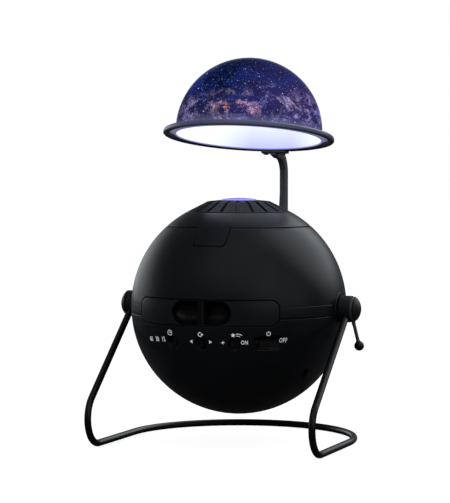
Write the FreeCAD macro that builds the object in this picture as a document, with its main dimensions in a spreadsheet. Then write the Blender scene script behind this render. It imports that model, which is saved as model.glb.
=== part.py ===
"""A planetarium projector: a ball that hangs in a bent wire stand, with a small dome over its lens.

Every length is in millimetres. X runs to the right, Y to the back and Z up. Each piece is drawn
about the centre of the ball and then lifted by centre_height, so the origin of the finished model
lies on the table, under the centre of the ball.
"""

import FreeCAD, Part
import math
import os
import re

import Sketcher

doc = FreeCAD.newDocument("planetarium_projector")
sheet = doc.addObject("Spreadsheet::Sheet", "size")
aliases = set()
parts = []

# ---------------------------------------------------------------------------------------------
# Sizes
# ---------------------------------------------------------------------------------------------

DRIVING_SIZES = (
    # the ball and its casing
    ("ball_radius", 67.5, "outer radius of the ball"),
    ("ball_wall", 2.5, "wall of the casing"),
    ("centre_height", 85, "height of the centre of the ball above the table"),
    ("seam_drop", 3.5, "depth of the casing's seam below the centre"),
    ("seam_gap", 0.4, "width of the visible seams"),
    ("lip_height", 2, "height of the lip that overlaps inside a seam"),
    ("fit_gap", 0.1, "gap between pieces that are fixed together"),
    ("run_gap", 0.05, "radial clearance of a turning fit"),
    ("slide_gap", 0.15, "clearance of a sliding fit"),
    # pivots
    ("collar_radius", 10.2, "radius of the bearing's outer flange"),
    ("collar_sink", 0.5, "how far the bearing's outer face lies inside the ball's radius"),
    ("collar_edge", 0.4, "chamfer of the bearing's outer flange"),
    ("collar_step", 1.5, "thickness of the bearing's outer flange"),
    ("neck_radius", 8.1, "radius of the bearing's neck"),
    ("neck_length", 5.6, "length of the bearing behind its outer flange"),
    ("inner_step", 2, "thickness of the bearing's inner flange"),
    ("pin_radius", 4, "radius of the pivot pin in the bearing"),
    ("pin_head_radius", 6.5, "radius of the pivot pin's head"),
    ("pin_head_length", 1.8, "thickness of the pivot pin's head"),
    ("stud_radius", 3, "radius of the pivot pin in the hub"),
    ("hub_radius", 8.2, "radius of the hub"),
    ("hub_gap", 0.1, "gap between the bearing and the hub"),
    ("hub_length", 7.3, "length of the hub"),
    ("hub_edge", 0.8, "radius of the hub's inner edge"),
    ("cap_depth", 5.2, "depth of the left hub's domed cap"),
    ("cap_rim", 1.2, "straight rim of a domed cap"),
    # lock lever
    ("lever_ring_radius", 7.7, "outer radius of the lever's ring"),
    ("lever_ring_width", 1.7, "thickness of the lever's ring"),
    ("lever_rod_radius", 1.1, "radius of the lever's rod"),
    ("lever_start", 8.4, "distance of the rod's root from the pivot line"),
    ("lever_root", 9.7, "distance of the lower end of the rod's root boss from the pivot line"),
    ("lever_root_width", 3.2, "width of the boss that holds the rod's root"),
    ("lever_drop", 22.5, "distance of the ball end from the pivot line"),
    ("lever_splay", 3.6, "how far the rod leans outwards"),
    ("lever_ball_radius", 3.05, "radius of the ball end"),
    ("nut_radius", 7, "radius of the clamp nut"),
    ("nut_depth", 3.5, "depth of the clamp nut"),
    ("nut_rim", 0.8, "straight rim of the clamp nut"),
    ("nut_wall", 1.1, "wall between the pin's end and the clamp nut's crown"),
    # stand
    ("rod_radius", 2.15, "radius of the bent wire"),
    ("wire_inset", 2.4, "distance of the wire's middle line from the hub's outer face"),
    ("leg_slope", 39.6, "angle of the legs below the horizontal"),
    ("front_bend", 16.5, "radius of the bend at the front of each leg"),
    ("rail_back", 1.2, "where the straight rails end and the round rear loop starts"),
    ("socket_depth", 3.8, "depth of the wire's end inside the hub, from the rim"),
    # top cover, lens mount and focus ring
    ("cover_radius", 44.8, "radius of the top cover's lower edge"),
    ("cover_lip", 1.6, "wall of the lip under the top cover"),
    ("tab_half_width", 10.75, "half the width of the cover's tab"),
    ("tab_length", 10.8, "how far the tab reaches below the cover"),
    ("tab_corner", 2.5, "radius of the tab's lower corners"),
    ("ring_radius", 32, "outer radius of the focus ring"),
    ("ring_skirt", 1.7, "height of the focus ring's upright edge"),
    ("ring_shoulder_radius", 19.4, "radius where the focus ring's cone ends"),
    ("cone_rise", 6.4, "height of the focus ring's cone"),
    ("crown_rise", 0.7, "height of the focus ring's flat crown above the cone"),
    ("ring_wall", 2.4, "wall of the focus ring"),
    ("ring_bevel", 0.5, "chamfer around the lens"),
    ("rib_count", 20, "number of grip slots in the focus ring"),
    ("rib_slot", 1.5, "width of a grip slot"),
    ("rib_slot_depth", 1.3, "depth of a grip slot"),
    ("rib_start", 1.4, "distance of the slots' inner ends from the lens barrel"),
    ("rib_margin", 0.9, "distance of the slots' outer ends from the ring's edge"),
    ("barrel_radius", 11.3, "outer radius of the lens barrel"),
    ("barrel_wall", 1.1, "wall of the lens barrel"),
    ("barrel_overhang", 10, "how far the lens barrel reaches below the lens mount"),
    ("barrel_sink", 0.3, "how far the lens barrel's end lies below the focus ring's crown"),
    ("lens_stop", 1.2, "width of the steps that hold the lenses"),
    ("lens_sink", 3, "depth of the front lens's seat below the barrel's upper end"),
    ("skirt_wall", 2, "wall of the focus ring's inner sleeve"),
    ("skirt_reach", 10, "how far the inner sleeve reaches into the lens mount"),
    ("mount_wall", 2, "wall of the lens mount's tube"),
    ("mount_rise", 0.6, "height of the lens mount's rim above the focus ring's outer edge"),
    ("mount_reach", 22.5, "how far the lens mount reaches below its seat"),
    ("seat_drop", 4, "depth of the lens mount's seat below the cover's edge"),
    ("flange_inset", 5.4, "distance of the mount's flange from the cover's edge, seen from above"),
    ("flange_bite", 4, "how far the lens mount's flange rests on the ledge"),
    ("mount_web", 3, "size of the slope between the lens mount's flange and tube"),
    ("flange_thickness", 2, "thickness of flanges and ledges inside the casing"),
    ("lens_crown", 2.1, "how far a lens bulges"),
    ("lens_edge", 2.2, "thickness of a lens at its edge"),
    # disc drawer
    ("drawer_half_width", 44.6, "half the width of the drawer's front"),
    ("drawer_rise", 7.9, "height of the drawer front's top edge above the centre"),
    ("drawer_drop", 7.4, "depth of the drawer front's lower edge below the centre"),
    ("drawer_corner", 5, "radius of the drawer front's corners"),
    ("drawer_wall", 3, "wall of the drawer's front"),
    ("grip_half_width", 18.95, "half the width of the pinch grip"),
    ("grip_radius", 7.25, "radius of the two finger hollows"),
    ("grip_sink", 1.2, "how far the hollows' axis lies behind the ball's front"),
    ("grip_rib", 4.8, "width of the rib between the finger hollows"),
    ("grip_back", 10.6, "depth of the block behind the pinch grip"),
    ("tray_half_width", 34, "half the width of the drawer's tray"),
    ("tray_thickness", 2, "thickness of the drawer's tray"),
    ("tray_top", 2, "depth of the tray's upper face below the centre"),
    ("tray_back", 31, "distance of the tray's rear edge behind the centre"),
    ("light_window", 16.5, "radius of the opening in the tray"),
    ("disc_radius", 25, "radius of the star disc"),
    ("disc_thickness", 1, "thickness of the star disc"),
    ("disc_seat", 20, "inner radius of the turntable"),
    # gears
    ("gear_module", 1, "module of the gears"),
    ("wheel_teeth", 56, "teeth on the turntable"),
    ("pinion_teeth", 16, "teeth on the motor's pinion"),
    ("tooth_height", 0.8, "height of a tooth above the pitch circle, in modules"),
    ("tooth_root", 1.05, "depth of a tooth below the pitch circle, in modules"),
    ("pressure_angle", 20, "pressure angle of the gears"),
    ("backlash", 0.16, "play between the teeth, along the pitch circle"),
    ("gear_thickness", 3.4, "thickness of the turntable"),
    ("motor_radius", 11, "radius of the gear motor"),
    ("motor_length", 14, "length of the gear motor"),
    ("shaft_radius", 1.5, "radius of the motor's shaft"),
    # chassis and lamp
    ("chassis_inset", 18, "distance of the chassis plate's edge from the ball's surface"),
    ("chassis_thickness", 2.5, "thickness of the chassis plate"),
    ("chassis_top", 8.5, "depth of the chassis plate's upper face below the centre"),
    ("rail_width", 7, "width of a drawer rail"),
    ("rail_bite", 3, "how far the tray reaches into a rail"),
    ("condenser_radius", 12, "radius of the condenser lens"),
    ("condenser_length", 15, "length of the condenser's holder below the chassis"),
    ("holder_wall", 1.8, "wall of the condenser's holder"),
    ("holder_rise", 3, "height of the condenser's holder above the chassis"),
    ("holder_flange", 4, "width of the holder's flange under the chassis"),
    ("holder_pocket", 4.5, "depth of the condenser's seat below the holder's top"),
    ("condenser_edge", 1.2, "thickness of the condenser lens at its edge"),
    ("condenser_bulge", 2.6, "how far the condenser lens bulges"),
    ("board_thickness", 1.6, "thickness of the circuit boards"),
    ("sink_radius", 17, "radius of the heat sink"),
    ("fin_count", 7, "number of fins on the heat sink"),
    ("fin_thickness", 1.4, "thickness of a fin"),
    ("fin_height", 13, "height of a fin"),
    ("post_radius", 3.4, "radius of the screw posts"),
    ("screw_radius", 1.4, "radius of a screw's shank"),
    ("screw_head", 2.7, "radius of a screw's head"),
    ("screw_head_depth", 1.8, "thickness of a screw's head"),
    ("post_inset", 17.5, "distance of the casing's screw posts from the ball's side"),
    ("post_y_back", 25, "distance of the rear screw posts behind the centre"),
    ("post_y_front", 22, "distance of the front screw posts before the centre"),
    ("foot_x", 24, "distance of the chassis posts from the middle plane"),
    ("foot_inset", 13.5, "distance of the chassis posts from the chassis's front and rear"),
    ("case_screw_seat", 14, "depth of the casing screws' heads below the centre"),
    # switches
    ("switch_drop", 18.5, "depth of the switches below the centre"),
    ("timer_angle", -17.5, "bearing of the timer switch from the front"),
    ("turn_angle", 0, "bearing of the rotation switch from the front"),
    ("star_angle", 18, "bearing of the shooting star switch from the front"),
    ("power_angle", 36.5, "bearing of the power switch from the front"),
    ("scoop_radius", 4.1, "radius of a round switch recess at the surface"),
    ("scoop_floor", 3.1, "radius of a round switch recess at its floor"),
    ("recess_depth", 2.3, "depth of a switch recess"),
    ("recess_wall", 1.8, "wall behind a switch recess"),
    ("knob_width", 2.2, "width of a round recess's knob"),
    ("knob_height", 3.6, "height of a switch's knob"),
    ("switch_travel", 1.3, "travel of a small switch to either side"),
    ("power_knob_width", 6.5, "width of the power switch's knob"),
    ("power_travel", 5, "travel of the power switch"),
    ("power_top_width", 20.5, "width of the power recess at its upper edge"),
    ("power_bottom_width", 15.5, "width of the power recess at its lower edge"),
    ("power_height", 9, "height of the power recess at the surface"),
    ("bevel", 1.7, "slope of the power recess's sides, from the surface to the floor"),
    ("stem_width", 1.4, "width of a knob's stem"),
    ("stem_height", 1.6, "height of a knob's stem"),
    ("switch_depth", 7.9, "depth of the slide switches' board edge behind the ball's surface"),
    ("switch_length", 6, "depth of a slide switch"),
    ("switch_width", 8.6, "width of a slide switch"),
    # power inlet
    ("inlet_drop", 24, "depth of the power inlet below the centre"),
    ("inlet_width", 8, "width of the power inlet's mouth"),
    ("inlet_height", 3.2, "height of the power inlet's mouth"),
    ("inlet_wall", 0.8, "wall of the power inlet"),
    ("inlet_length", 9, "length of the power inlet"),
    # dome, its ring and its arm
    ("dome_radius", 46.5, "outer radius of the dome"),
    ("dome_wall", 1, "wall of the dome"),
    ("dome_back", 18.3, "distance of the dome's centre behind the middle of the ball"),
    ("dome_clearance", 42.2, "height of the dome's centre above the top of the ball"),
    ("dome_lean", 9, "angle by which the dome leans back"),
    ("rim_width", 7.7, "width of the dome's ring, from the dome to its outer edge"),
    ("rim_drop", 4.6, "depth of the ring's lower face below the dome's centre"),
    ("rim_face", 3.1, "height of the ring's outer face"),
    ("arm_width", 4, "width of the arm, across"),
    ("arm_depth", 6, "depth of the arm, from front to back"),
    ("arm_swell", 2, "how much deeper the arm's lower part is"),
    ("swell_drop", 12.3, "depth below the bend at which the arm starts to grow deeper"),
    ("swell_length", 14, "height over which the arm grows to its full depth"),
    ("arm_bend", 13, "radius of the arm's bend along its middle line"),
    ("arm_behind", 14.7, "distance of the arm's middle line behind the ring"),
    ("bend_below", 14.2, "depth of the bend's centre below the ring"),
    ("arm_foot", 1, "depth of the arm's lower end below the centre"),
    ("bracket_half_width", 8.5, "half the width of the bracket under the ring"),
    ("bracket_thickness", 1.6, "thickness of the bracket"),
    ("tongue", 1.4, "thickness of the arm's tongue under the bracket"),
    ("lug_bottom", 3, "depth of the arm socket's lower face below the centre"),
    ("lug_top", 15, "height of the arm socket's upper face above the centre"),
    ("lug_wall", 2.4, "wall of the arm socket around the arm"),
)

DERIVED_SIZES = (
    ("collar_reach", "ball_radius - collar_sink", "where each bearing's outer face lies"),
    ("hub_start", "collar_reach + hub_gap", "where each hub starts"),
    ("hub_reach", "hub_start + hub_length", "where each hub ends"),
    ("leg_spread", "hub_reach - wire_inset", "distance of each leg from the middle plane"),
    ("cover_seam", "sqrt(ball_radius ^ 2 - cover_radius ^ 2)", "height of the cover's lower edge"),
    ("tab_bottom", "cover_seam - tab_length", "height of the tab's lower edge"),
    ("ring_edge", "sqrt(ball_radius ^ 2 - ring_radius ^ 2)", "height of the focus ring's edge"),
    ("ring_shoulder", "ring_edge + cone_rise", "height where the focus ring's cone ends"),
    ("ring_top", "ring_shoulder + crown_rise", "height of the focus ring's crown"),
    ("mount_seat", "cover_seam - seat_drop", "height of the ledge that carries the lens mount"),
    ("mount_top", "ring_edge + mount_rise", "height of the lens mount's rim"),
    ("mount_bottom", "mount_seat - mount_reach", "height of the lens mount's lower end"),
    ("mount_flange_radius", "cover_radius - flange_inset", "radius of the lens mount's flange"),
    ("skirt_bottom", "mount_top - skirt_reach", "height of the inner sleeve's lower end"),
    ("barrel_top", "ring_top - barrel_sink", "height of the lens barrel's upper end"),
    ("barrel_bottom", "mount_bottom - barrel_overhang", "height of the barrel's lower end"),
    (
        "drawer_root",
        "sqrt((ball_radius - 2 * drawer_wall) ^ 2 - drawer_half_width ^ 2) - drawer_wall",
        "how far before the centre the drawer's opening starts",
    ),
    ("chassis_radius", "ball_radius - chassis_inset", "radius of the chassis plate"),
    ("post_x", "ball_radius - post_inset", "distance of the screw posts from the middle plane"),
    ("foot_y", "chassis_radius - foot_inset", "distance of the chassis posts from the centre"),
    ("dome_rise", "ball_radius + dome_clearance", "height of the dome's centre"),
    ("rod_level", "centre_height - rod_radius", "depth of the lying wire's middle line"),
    (
        "leg_length",
        "(rod_level - front_bend - front_bend * cos(leg_slope)) / sin(leg_slope)",
        "length of a leg's straight run, from the pivot line to the bend",
    ),
    (
        "bend_y",
        "-leg_length * cos(leg_slope) + front_bend * sin(leg_slope)",
        "where the centre of the front bend lies, from front to back",
    ),
    ("rim_radius", "dome_radius + rim_width", "outer radius of the dome's ring"),
    (
        "rim_y",
        "dome_back + rim_radius * cos(dome_lean) - rim_drop * sin(dome_lean)",
        "where the ring's rear lower edge lies, from front to back",
    ),
    (
        "rim_z",
        "dome_rise - rim_radius * sin(dome_lean) - rim_drop * cos(dome_lean)",
        "height of the ring's rear lower edge",
    ),
    ("arm_y", "rim_y + arm_behind", "where the arm's middle line lies, from front to back"),
    ("wheel_radius", "gear_module * wheel_teeth / 2", "pitch radius of the turntable"),
    ("pinion_radius", "gear_module * pinion_teeth / 2", "pitch radius of the pinion"),
    ("pinion_y", "wheel_radius + pinion_radius", "distance of the pinion behind the centre"),
    (
        "switch_ring",
        "sqrt(ball_radius ^ 2 - switch_drop ^ 2)",
        "radius of the ball at the height of the switches",
    ),
    ("switch_reach", "switch_ring - switch_depth", "where the slide switches' board ends"),
    ("lever_x", "hub_reach + fit_gap", "where the lever's ring starts"),
    ("nut_x", "lever_x + lever_ring_width + fit_gap", "where the clamp nut starts"),
    ("turntable_bottom", "-tray_top + fit_gap", "height of the turntable's lower face"),
    ("disc_bottom", "turntable_bottom + 2.1", "height of the star disc's lower face"),
    ("chassis_bottom", "chassis_top + chassis_thickness", "depth of the chassis's lower face"),
    ("lamp_level", "chassis_bottom + condenser_length", "depth of the lamp board's upper face"),
)


def fill_sheet():
    """Write the driving sizes as numbers and the derived ones as formulas, each with an alias."""
    rows = list(DRIVING_SIZES) + list(DERIVED_SIZES)
    for row, (alias, value, meaning) in enumerate(rows, start=1):
        formula = "=" + value if isinstance(value, str) else str(value)
        sheet.set(f"A{row}", meaning)
        sheet.set(f"B{row}", formula)
        sheet.setAlias(f"B{row}", alias)
        aliases.add(alias)
    doc.recompute()


def spelled(formula):
    """The formula as FreeCAD reads it outside the sheet, with size. before each alias."""
    return re.sub(r"[a-z_]+", lambda word: named(word.group(0)), str(formula))


def named(word):
    return "size." + word if word in aliases else word


def number(formula):
    """What a formula of the sheet's aliases comes to."""
    return float(sheet.evalExpression(spelled(formula)))


def bind(thing, formulas):
    """Tie each property of a thing to its formula."""
    for name, formula in formulas.items():
        thing.setExpression(name, spelled(formula))


# ---------------------------------------------------------------------------------------------
# Ways of making a solid
# ---------------------------------------------------------------------------------------------

UPRIGHT = FreeCAD.Rotation()
TO_RIGHT = FreeCAD.Rotation(FreeCAD.Vector(0, 1, 0), 90)
TO_FRONT = FreeCAD.Rotation(FreeCAD.Vector(1, 0, 0), 90)


def put(thing, at, turn=UPRIGHT):
    """Turn a thing and tie its place to three formulas."""
    thing.Placement = FreeCAD.Placement(FreeCAD.Vector(), turn)
    bind(thing, dict(zip(("Placement.Base.x", "Placement.Base.y", "Placement.Base.z"), at)))
    return thing


def primitive(kind, name, sizes, at=(0, 0, 0), turn=UPRIGHT):
    """One of the Part workbench's primitives, with its sizes and place tied to formulas."""
    thing = doc.addObject("Part::" + kind, name)
    bind(thing, sizes)
    return put(thing, at, turn)


def globe(name, radius, at=(0, 0, 0)):
    return primitive("Sphere", name, {"Radius": radius}, at)


def drum(name, radius, length, at=(0, 0, 0), turn=UPRIGHT):
    return primitive("Cylinder", name, {"Radius": radius, "Height": length}, at, turn)


def block(name, low, high):
    """A box between two corners, each given as three formulas."""
    length, width, height = (f"({b}) - ({a})" for a, b in zip(low, high))
    return primitive("Box", name, {"Length": length, "Width": width, "Height": height}, low)


def fuse(name, *things):
    joined = doc.addObject("Part::MultiFuse", name)
    joined.Shapes = list(things)
    return joined


def overlap(name, *things):
    shared = doc.addObject("Part::MultiCommon", name)
    shared.Shapes = list(things)
    return shared


def cut(name, base, *tools):
    result = doc.addObject("Part::Cut", name)
    result.Base = base
    result.Tool = tools[0] if len(tools) == 1 else fuse(name + "_tools", *tools)
    return result


def swung(name, thing, angle):
    """A copy of a thing, turned about the upright axis by a bearing from the front."""
    turned = doc.addObject("Part::Compound", name)
    turned.Links = [thing]
    turned.Placement = FreeCAD.Placement(
        FreeCAD.Vector(), FreeCAD.Rotation(FreeCAD.Vector(0, 0, 1), 1)
    )
    bind(turned, {"Placement.Rotation.Angle": angle})
    return turned


def arc_between(start, end, radius, side):
    """The short arc from start to end whose centre lies to the left (1) or right (-1)."""
    middle = (start + end) * 0.5
    chord = end - start
    away = FreeCAD.Vector(-chord.y, chord.x, 0).normalize() * side
    centre = middle + away * math.sqrt(max(radius**2 - (chord.Length / 2) ** 2, 0))
    first, last = (start, end) if side > 0 else (end, start)
    angles = [math.atan2(p.y - centre.y, p.x - centre.x) for p in (first, last)]
    circle = Part.Circle(centre, FreeCAD.Vector(0, 0, 1), radius)
    return Part.ArcOfCircle(circle, angles[0], angles[1])


def draw(sketch, outline):
    """Draw a closed outline of lines and arcs, each corner and radius tied to formulas.

    A corner is (x, y), or (x, y, radius, side) when an arc leads to it; its centre lies to the
    left of the way along the outline when side is 1 and to the right when it is -1.
    """
    corners = [FreeCAD.Vector(number(c[0]), number(c[1]), 0) for c in outline]
    ends = []
    for index, corner in enumerate(outline):
        start, end = corners[index - 1], corners[index]
        if len(corner) == 2:
            edge = sketch.addGeometry(Part.LineSegment(start, end))
            ends.append((edge, 1, 2))
        else:
            arc = arc_between(start, end, number(corner[2]), corner[3])
            edge = sketch.addGeometry(arc)
            ends.append((edge, 1, 2) if corner[3] > 0 else (edge, 2, 1))
    for index, corner in enumerate(outline):
        edge, _, last = ends[index]
        following, first, _ = ends[(index + 1) % len(ends)]
        sketch.addConstraint(Sketcher.Constraint("Coincident", edge, last, following, first))
        fix_point(sketch, edge, last, corner)
        if len(corner) == 4:
            tie(sketch, Sketcher.Constraint("Radius", edge, number(corner[2])), corner[2])


def fix_point(sketch, edge, point, corner):
    """Hold one corner at its two formulas."""
    for kind, axis, formula in (("DistanceX", -2, corner[0]), ("DistanceY", -1, corner[1])):
        value = number(formula)
        if abs(value) < 1e-9:
            sketch.addConstraint(Sketcher.Constraint("PointOnObject", edge, point, axis))
        else:
            tie(sketch, Sketcher.Constraint(kind, -1, 1, edge, point, value), formula)


def tie(sketch, constraint, formula):
    index = sketch.addConstraint(constraint)
    sketch.setExpression(f"Constraints[{index}]", spelled(formula))


def plane_of(body, role):
    return next(plane for plane in body.Origin.OriginFeatures if plane.Role == role)


def sketch_on(body, role, name, lift=0):
    """An empty sketch on one of a body's own planes, lifted along the plane's normal."""
    sketch = body.newObject("Sketcher::SketchObject", name)
    sketch.AttachmentSupport = [(plane_of(body, role), "")]
    sketch.MapMode = "FlatFace"
    bind(sketch, {"AttachmentOffset.Base.z": lift})
    return sketch


def turned(name, outline, axis="V_Axis"):
    """A body turned about the upright axis, or about the line through the pivots (H_Axis)."""
    body = doc.addObject("PartDesign::Body", name)
    sketch = sketch_on(body, "XZ_Plane", name + "_profile")
    draw(sketch, outline)
    spin = body.newObject("PartDesign::Revolution", name + "_turned")
    spin.Profile = sketch
    spin.ReferenceAxis = (sketch, [axis])
    spin.Angle = 360
    return body


def padded(name, role, outline, length, lift=0):
    """A body with one outline raised along its plane's normal."""
    body = doc.addObject("PartDesign::Body", name)
    add_pad(body, role, name, outline, length, lift)
    return body


def add_pad(body, role, name, outline, length, lift=0):
    sketch = sketch_on(body, role, name + "_outline", lift)
    draw(sketch, outline)
    pad = body.newObject("PartDesign::Pad", name + "_pad")
    pad.Profile = sketch
    bind(pad, {"Length": length})
    return pad


def rounded(left, right, bottom, top, radius):
    """The outline of a rectangle with round corners."""
    return [
        (left, f"({bottom}) + ({radius})"),
        (f"({left}) + ({radius})", bottom, radius, 1),
        (f"({right}) - ({radius})", bottom),
        (right, f"({bottom}) + ({radius})", radius, 1),
        (right, f"({top}) - ({radius})"),
        (f"({right}) - ({radius})", top, radius, 1),
        (f"({left}) + ({radius})", top),
        (left, f"({top}) - ({radius})", radius, 1),
    ]


def keep(thing, label):
    """Make a thing a sub-part: label it and lift it to its height above the table."""
    thing.Label = label
    bind(thing, {"Placement.Base.z": "centre_height"})
    parts.append(thing)


def keep_on_dome(thing, label):
    """Make a sub-part of a thing that is drawn about the dome's centre and upright axis."""
    thing.Label = label
    thing.Placement = FreeCAD.Placement(
        FreeCAD.Vector(), FreeCAD.Rotation(FreeCAD.Vector(-1, 0, 0), 1)
    )
    bind(
        thing,
        {
            "Placement.Base.y": "dome_back",
            "Placement.Base.z": "centre_height + dome_rise",
            "Placement.Rotation.Angle": "dome_lean",
        },
    )
    parts.append(thing)


# ---------------------------------------------------------------------------------------------
# Stand and pivots
# ---------------------------------------------------------------------------------------------


def make_stand():
    """One bent wire: a round loop behind, two rails on the table, and two legs up to the hubs."""
    body = doc.addObject("PartDesign::Body", "stand_wire")
    section = sketch_on(body, "XZ_Plane", "wire_section", "-bend_y")
    circle = Part.Circle(
        FreeCAD.Vector(number("leg_spread"), -number("rod_level"), 0),
        FreeCAD.Vector(0, 0, 1),
        number("rod_radius"),
    )
    section.addGeometry(circle)
    tie(section, Sketcher.Constraint("Radius", 0, number("rod_radius")), "rod_radius")
    fix_point(section, 0, 3, ("leg_spread", "-rod_level"))

    loop = sketch_on(body, "XY_Plane", "loop_path", "-rod_level")
    draw_path(
        loop,
        [
            ("leg_spread", "bend_y"),
            ("leg_spread", "rail_back"),
            ("0", "rail_back + leg_spread", "leg_spread", 1),
            ("-leg_spread", "rail_back", "leg_spread", 1),
            ("-leg_spread", "bend_y"),
        ],
    )
    leg = sketch_on(body, "YZ_Plane", "leg_path", "leg_spread")
    foremost = "bend_y - front_bend"
    draw_path(
        leg,
        [
            ("bend_y", "-rod_level"),
            (foremost, "front_bend - rod_level", "front_bend", -1),
            ("-leg_length * cos(leg_slope)", "-leg_length * sin(leg_slope)", "front_bend", -1),
            (
                "-(hub_radius - socket_depth) * cos(leg_slope)",
                "-(hub_radius - socket_depth) * sin(leg_slope)",
            ),
        ],
    )
    doc.recompute()
    pipes = []
    for name, path in (("loop", loop), ("leg", leg)):
        pipe = body.newObject("PartDesign::AdditivePipe", name + "_pipe")
        pipe.Profile = section
        pipe.Spine = (path, [f"Edge{n + 1}" for n in range(len(path.Geometry))])
        pipes.append(pipe)
        doc.recompute()
    other = body.newObject("PartDesign::Mirrored", "other_leg")
    other.Originals = [pipes[1]]
    other.MirrorPlane = (plane_of(body, "YZ_Plane"), [""])
    body.Tip = other
    keep(body, "stand_wire")


def draw_path(sketch, stops):
    """Draw an open path of lines and arcs; the stops are given as draw's corners are."""
    points = [FreeCAD.Vector(number(s[0]), number(s[1]), 0) for s in stops]
    previous = None
    for index in range(1, len(stops)):
        stop, start, end = stops[index], points[index - 1], points[index]
        if len(stop) == 2:
            edge = sketch.addGeometry(Part.LineSegment(start, end))
            first, last = 1, 2
        else:
            edge = sketch.addGeometry(arc_between(start, end, number(stop[2]), stop[3]))
            first, last = (1, 2) if stop[3] > 0 else (2, 1)
            tie(sketch, Sketcher.Constraint("Radius", edge, number(stop[2])), stop[2])
        if previous:
            sketch.addConstraint(Sketcher.Constraint("Coincident", *previous, edge, first))
        else:
            fix_point(sketch, edge, first, stops[0])
        fix_point(sketch, edge, last, stop)
        previous = (edge, last)


def make_hub(side, word):
    """The plastic hub that holds the wire's end and the pivot pin."""
    x_in, x_out = f"{side} * hub_start", f"{side} * hub_reach"
    bore = "stud_radius + fit_gap / 2"
    rim = [
        (x_in, bore),
        (x_in, "hub_radius - hub_edge"),
        (f"{side} * (hub_start + hub_edge)", "hub_radius", "hub_edge", -side),
        (x_out, "hub_radius"),
        (x_out, bore),
    ]
    drum_body = turned(f"{word}_hub_drum", rim, "H_Axis")
    hole = drum(
        f"{word}_wire_hole",
        "rod_radius + fit_gap / 4",
        "socket_depth + 2",
        (
            f"{side} * leg_spread",
            "-(hub_radius - socket_depth) * cos(leg_slope)",
            "-(hub_radius - socket_depth) * sin(leg_slope)",
        ),
    )
    lean = number("leg_slope")
    hole.Placement.Rotation = FreeCAD.Rotation(FreeCAD.Vector(1, 0, 0), 90 + lean)
    keep(cut(f"{word}_hub", drum_body, hole), f"{word}_hub")


def make_pin(side, word):
    """The pivot pin: its head lies inside the ball, and its stud is fixed in the hub."""
    head_out = f"{side} * (collar_reach - collar_step - neck_length - fit_gap)"
    head_in = f"{side} * (collar_reach - collar_step - neck_length - fit_gap - pin_head_length)"
    shoulder = f"{side} * hub_start"
    tip = f"{side} * (nut_x + nut_depth - nut_wall - fit_gap)" if side > 0 else f"{side} * hub_reach"
    outline = [
        (head_in, "0"),
        (head_in, "pin_head_radius"),
        (head_out, "pin_head_radius"),
        (head_out, "pin_radius"),
        (shoulder, "pin_radius"),
        (shoulder, "stud_radius"),
        (tip, "stud_radius"),
        (tip, "0"),
    ]
    keep(turned(f"{word}_pivot_pin", outline, "H_Axis"), f"{word}_pivot_pin")


def make_bearing(side, word):
    """The round collar that the casing's halves clamp, and in which the pivot pin turns."""
    bore = "pin_radius + run_gap"
    face = f"{side} * collar_reach"
    step = f"{side} * (collar_reach - collar_step)"
    inner_face = f"{side} * (collar_reach - collar_step - neck_length)"
    inner_step = f"{side} * (collar_reach - collar_step - neck_length + inner_step)"
    outline = [
        (inner_face, bore),
        (inner_face, "collar_radius"),
        (inner_step, "collar_radius"),
        (inner_step, "neck_radius"),
        (step, "neck_radius"),
        (step, "collar_radius"),
        (f"{side} * (collar_reach - collar_edge)", "collar_radius"),
        (face, "collar_radius - collar_edge"),
        (face, bore),
    ]
    keep(turned(f"{word}_bearing", outline, "H_Axis"), f"{word}_bearing")


def make_left_cap():
    """The domed cap on the left hub: a short straight rim, and a dome that is a part of a ball."""
    rim, tip = "-(hub_reach + fit_gap + cap_rim)", "-(hub_reach + cap_depth)"
    crown = "(cap_depth - fit_gap - cap_rim)"
    radius = f"(hub_radius ^ 2 + {crown} ^ 2) / (2 * {crown})"
    outline = [
        ("-(hub_reach + fit_gap)", "0"),
        ("-(hub_reach + fit_gap)", "hub_radius"),
        (rim, "hub_radius"),
        (tip, "0", radius, 1),
    ]
    keep(turned("left_cap", outline, "H_Axis"), "left_cap")


def make_lever():
    """The lock lever: a ring on the pin, a rod that leans outwards, a ball end, a clamp nut."""
    ring = drum(
        "lever_ring",
        "lever_ring_radius",
        "lever_ring_width",
        ("lever_x", 0, 0),
        TO_RIGHT,
    )
    root = block(
        "lever_root_boss",
        ("lever_x", "-lever_root_width / 2", "-lever_root"),
        ("lever_x + lever_ring_width", "lever_root_width / 2", "-5"),
    )
    bore = drum(
        "lever_bore",
        "stud_radius + run_gap",
        "lever_ring_width + 2",
        ("lever_x - 1", 0, 0),
        TO_RIGHT,
    )
    run = "sqrt((lever_drop - lever_start) ^ 2 + lever_splay ^ 2)"
    rod = drum(
        "lever_rod",
        "lever_rod_radius",
        f"{run} - lever_ball_radius + fit_gap",
        ("lever_x + lever_ring_width / 2", 0, "-lever_start"),
    )
    slant = math.degrees(math.atan2(number("lever_splay"), number("lever_drop - lever_start")))
    rod.Placement.Rotation = FreeCAD.Rotation(FreeCAD.Vector(0, 1, 0), 180 - slant)
    keep(cut("lock_lever", fuse("lever_body", ring, root, rod), bore), "lock_lever")

    centre = ("lever_x + lever_ring_width / 2 + lever_splay", 0, "-lever_drop")
    knob = globe("lever_knob", "lever_ball_radius", centre)
    keep(cut("lever_ball", knob, rod), "lever_ball")

    tip, crown = "nut_x + nut_depth", "(nut_depth - nut_rim)"
    dome = f"(nut_radius ^ 2 + {crown} ^ 2) / (2 * {crown})"
    outline = [
        ("nut_x", "stud_radius + fit_gap / 2"),
        ("nut_x", "nut_radius"),
        ("nut_x + nut_rim", "nut_radius"),
        (tip, "0", dome, -1),
        (f"{tip} - nut_wall", "0"),
        (f"{tip} - nut_wall", "stud_radius + fit_gap / 2"),
    ]
    keep(turned("clamp_nut", outline, "H_Axis"), "clamp_nut")


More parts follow.
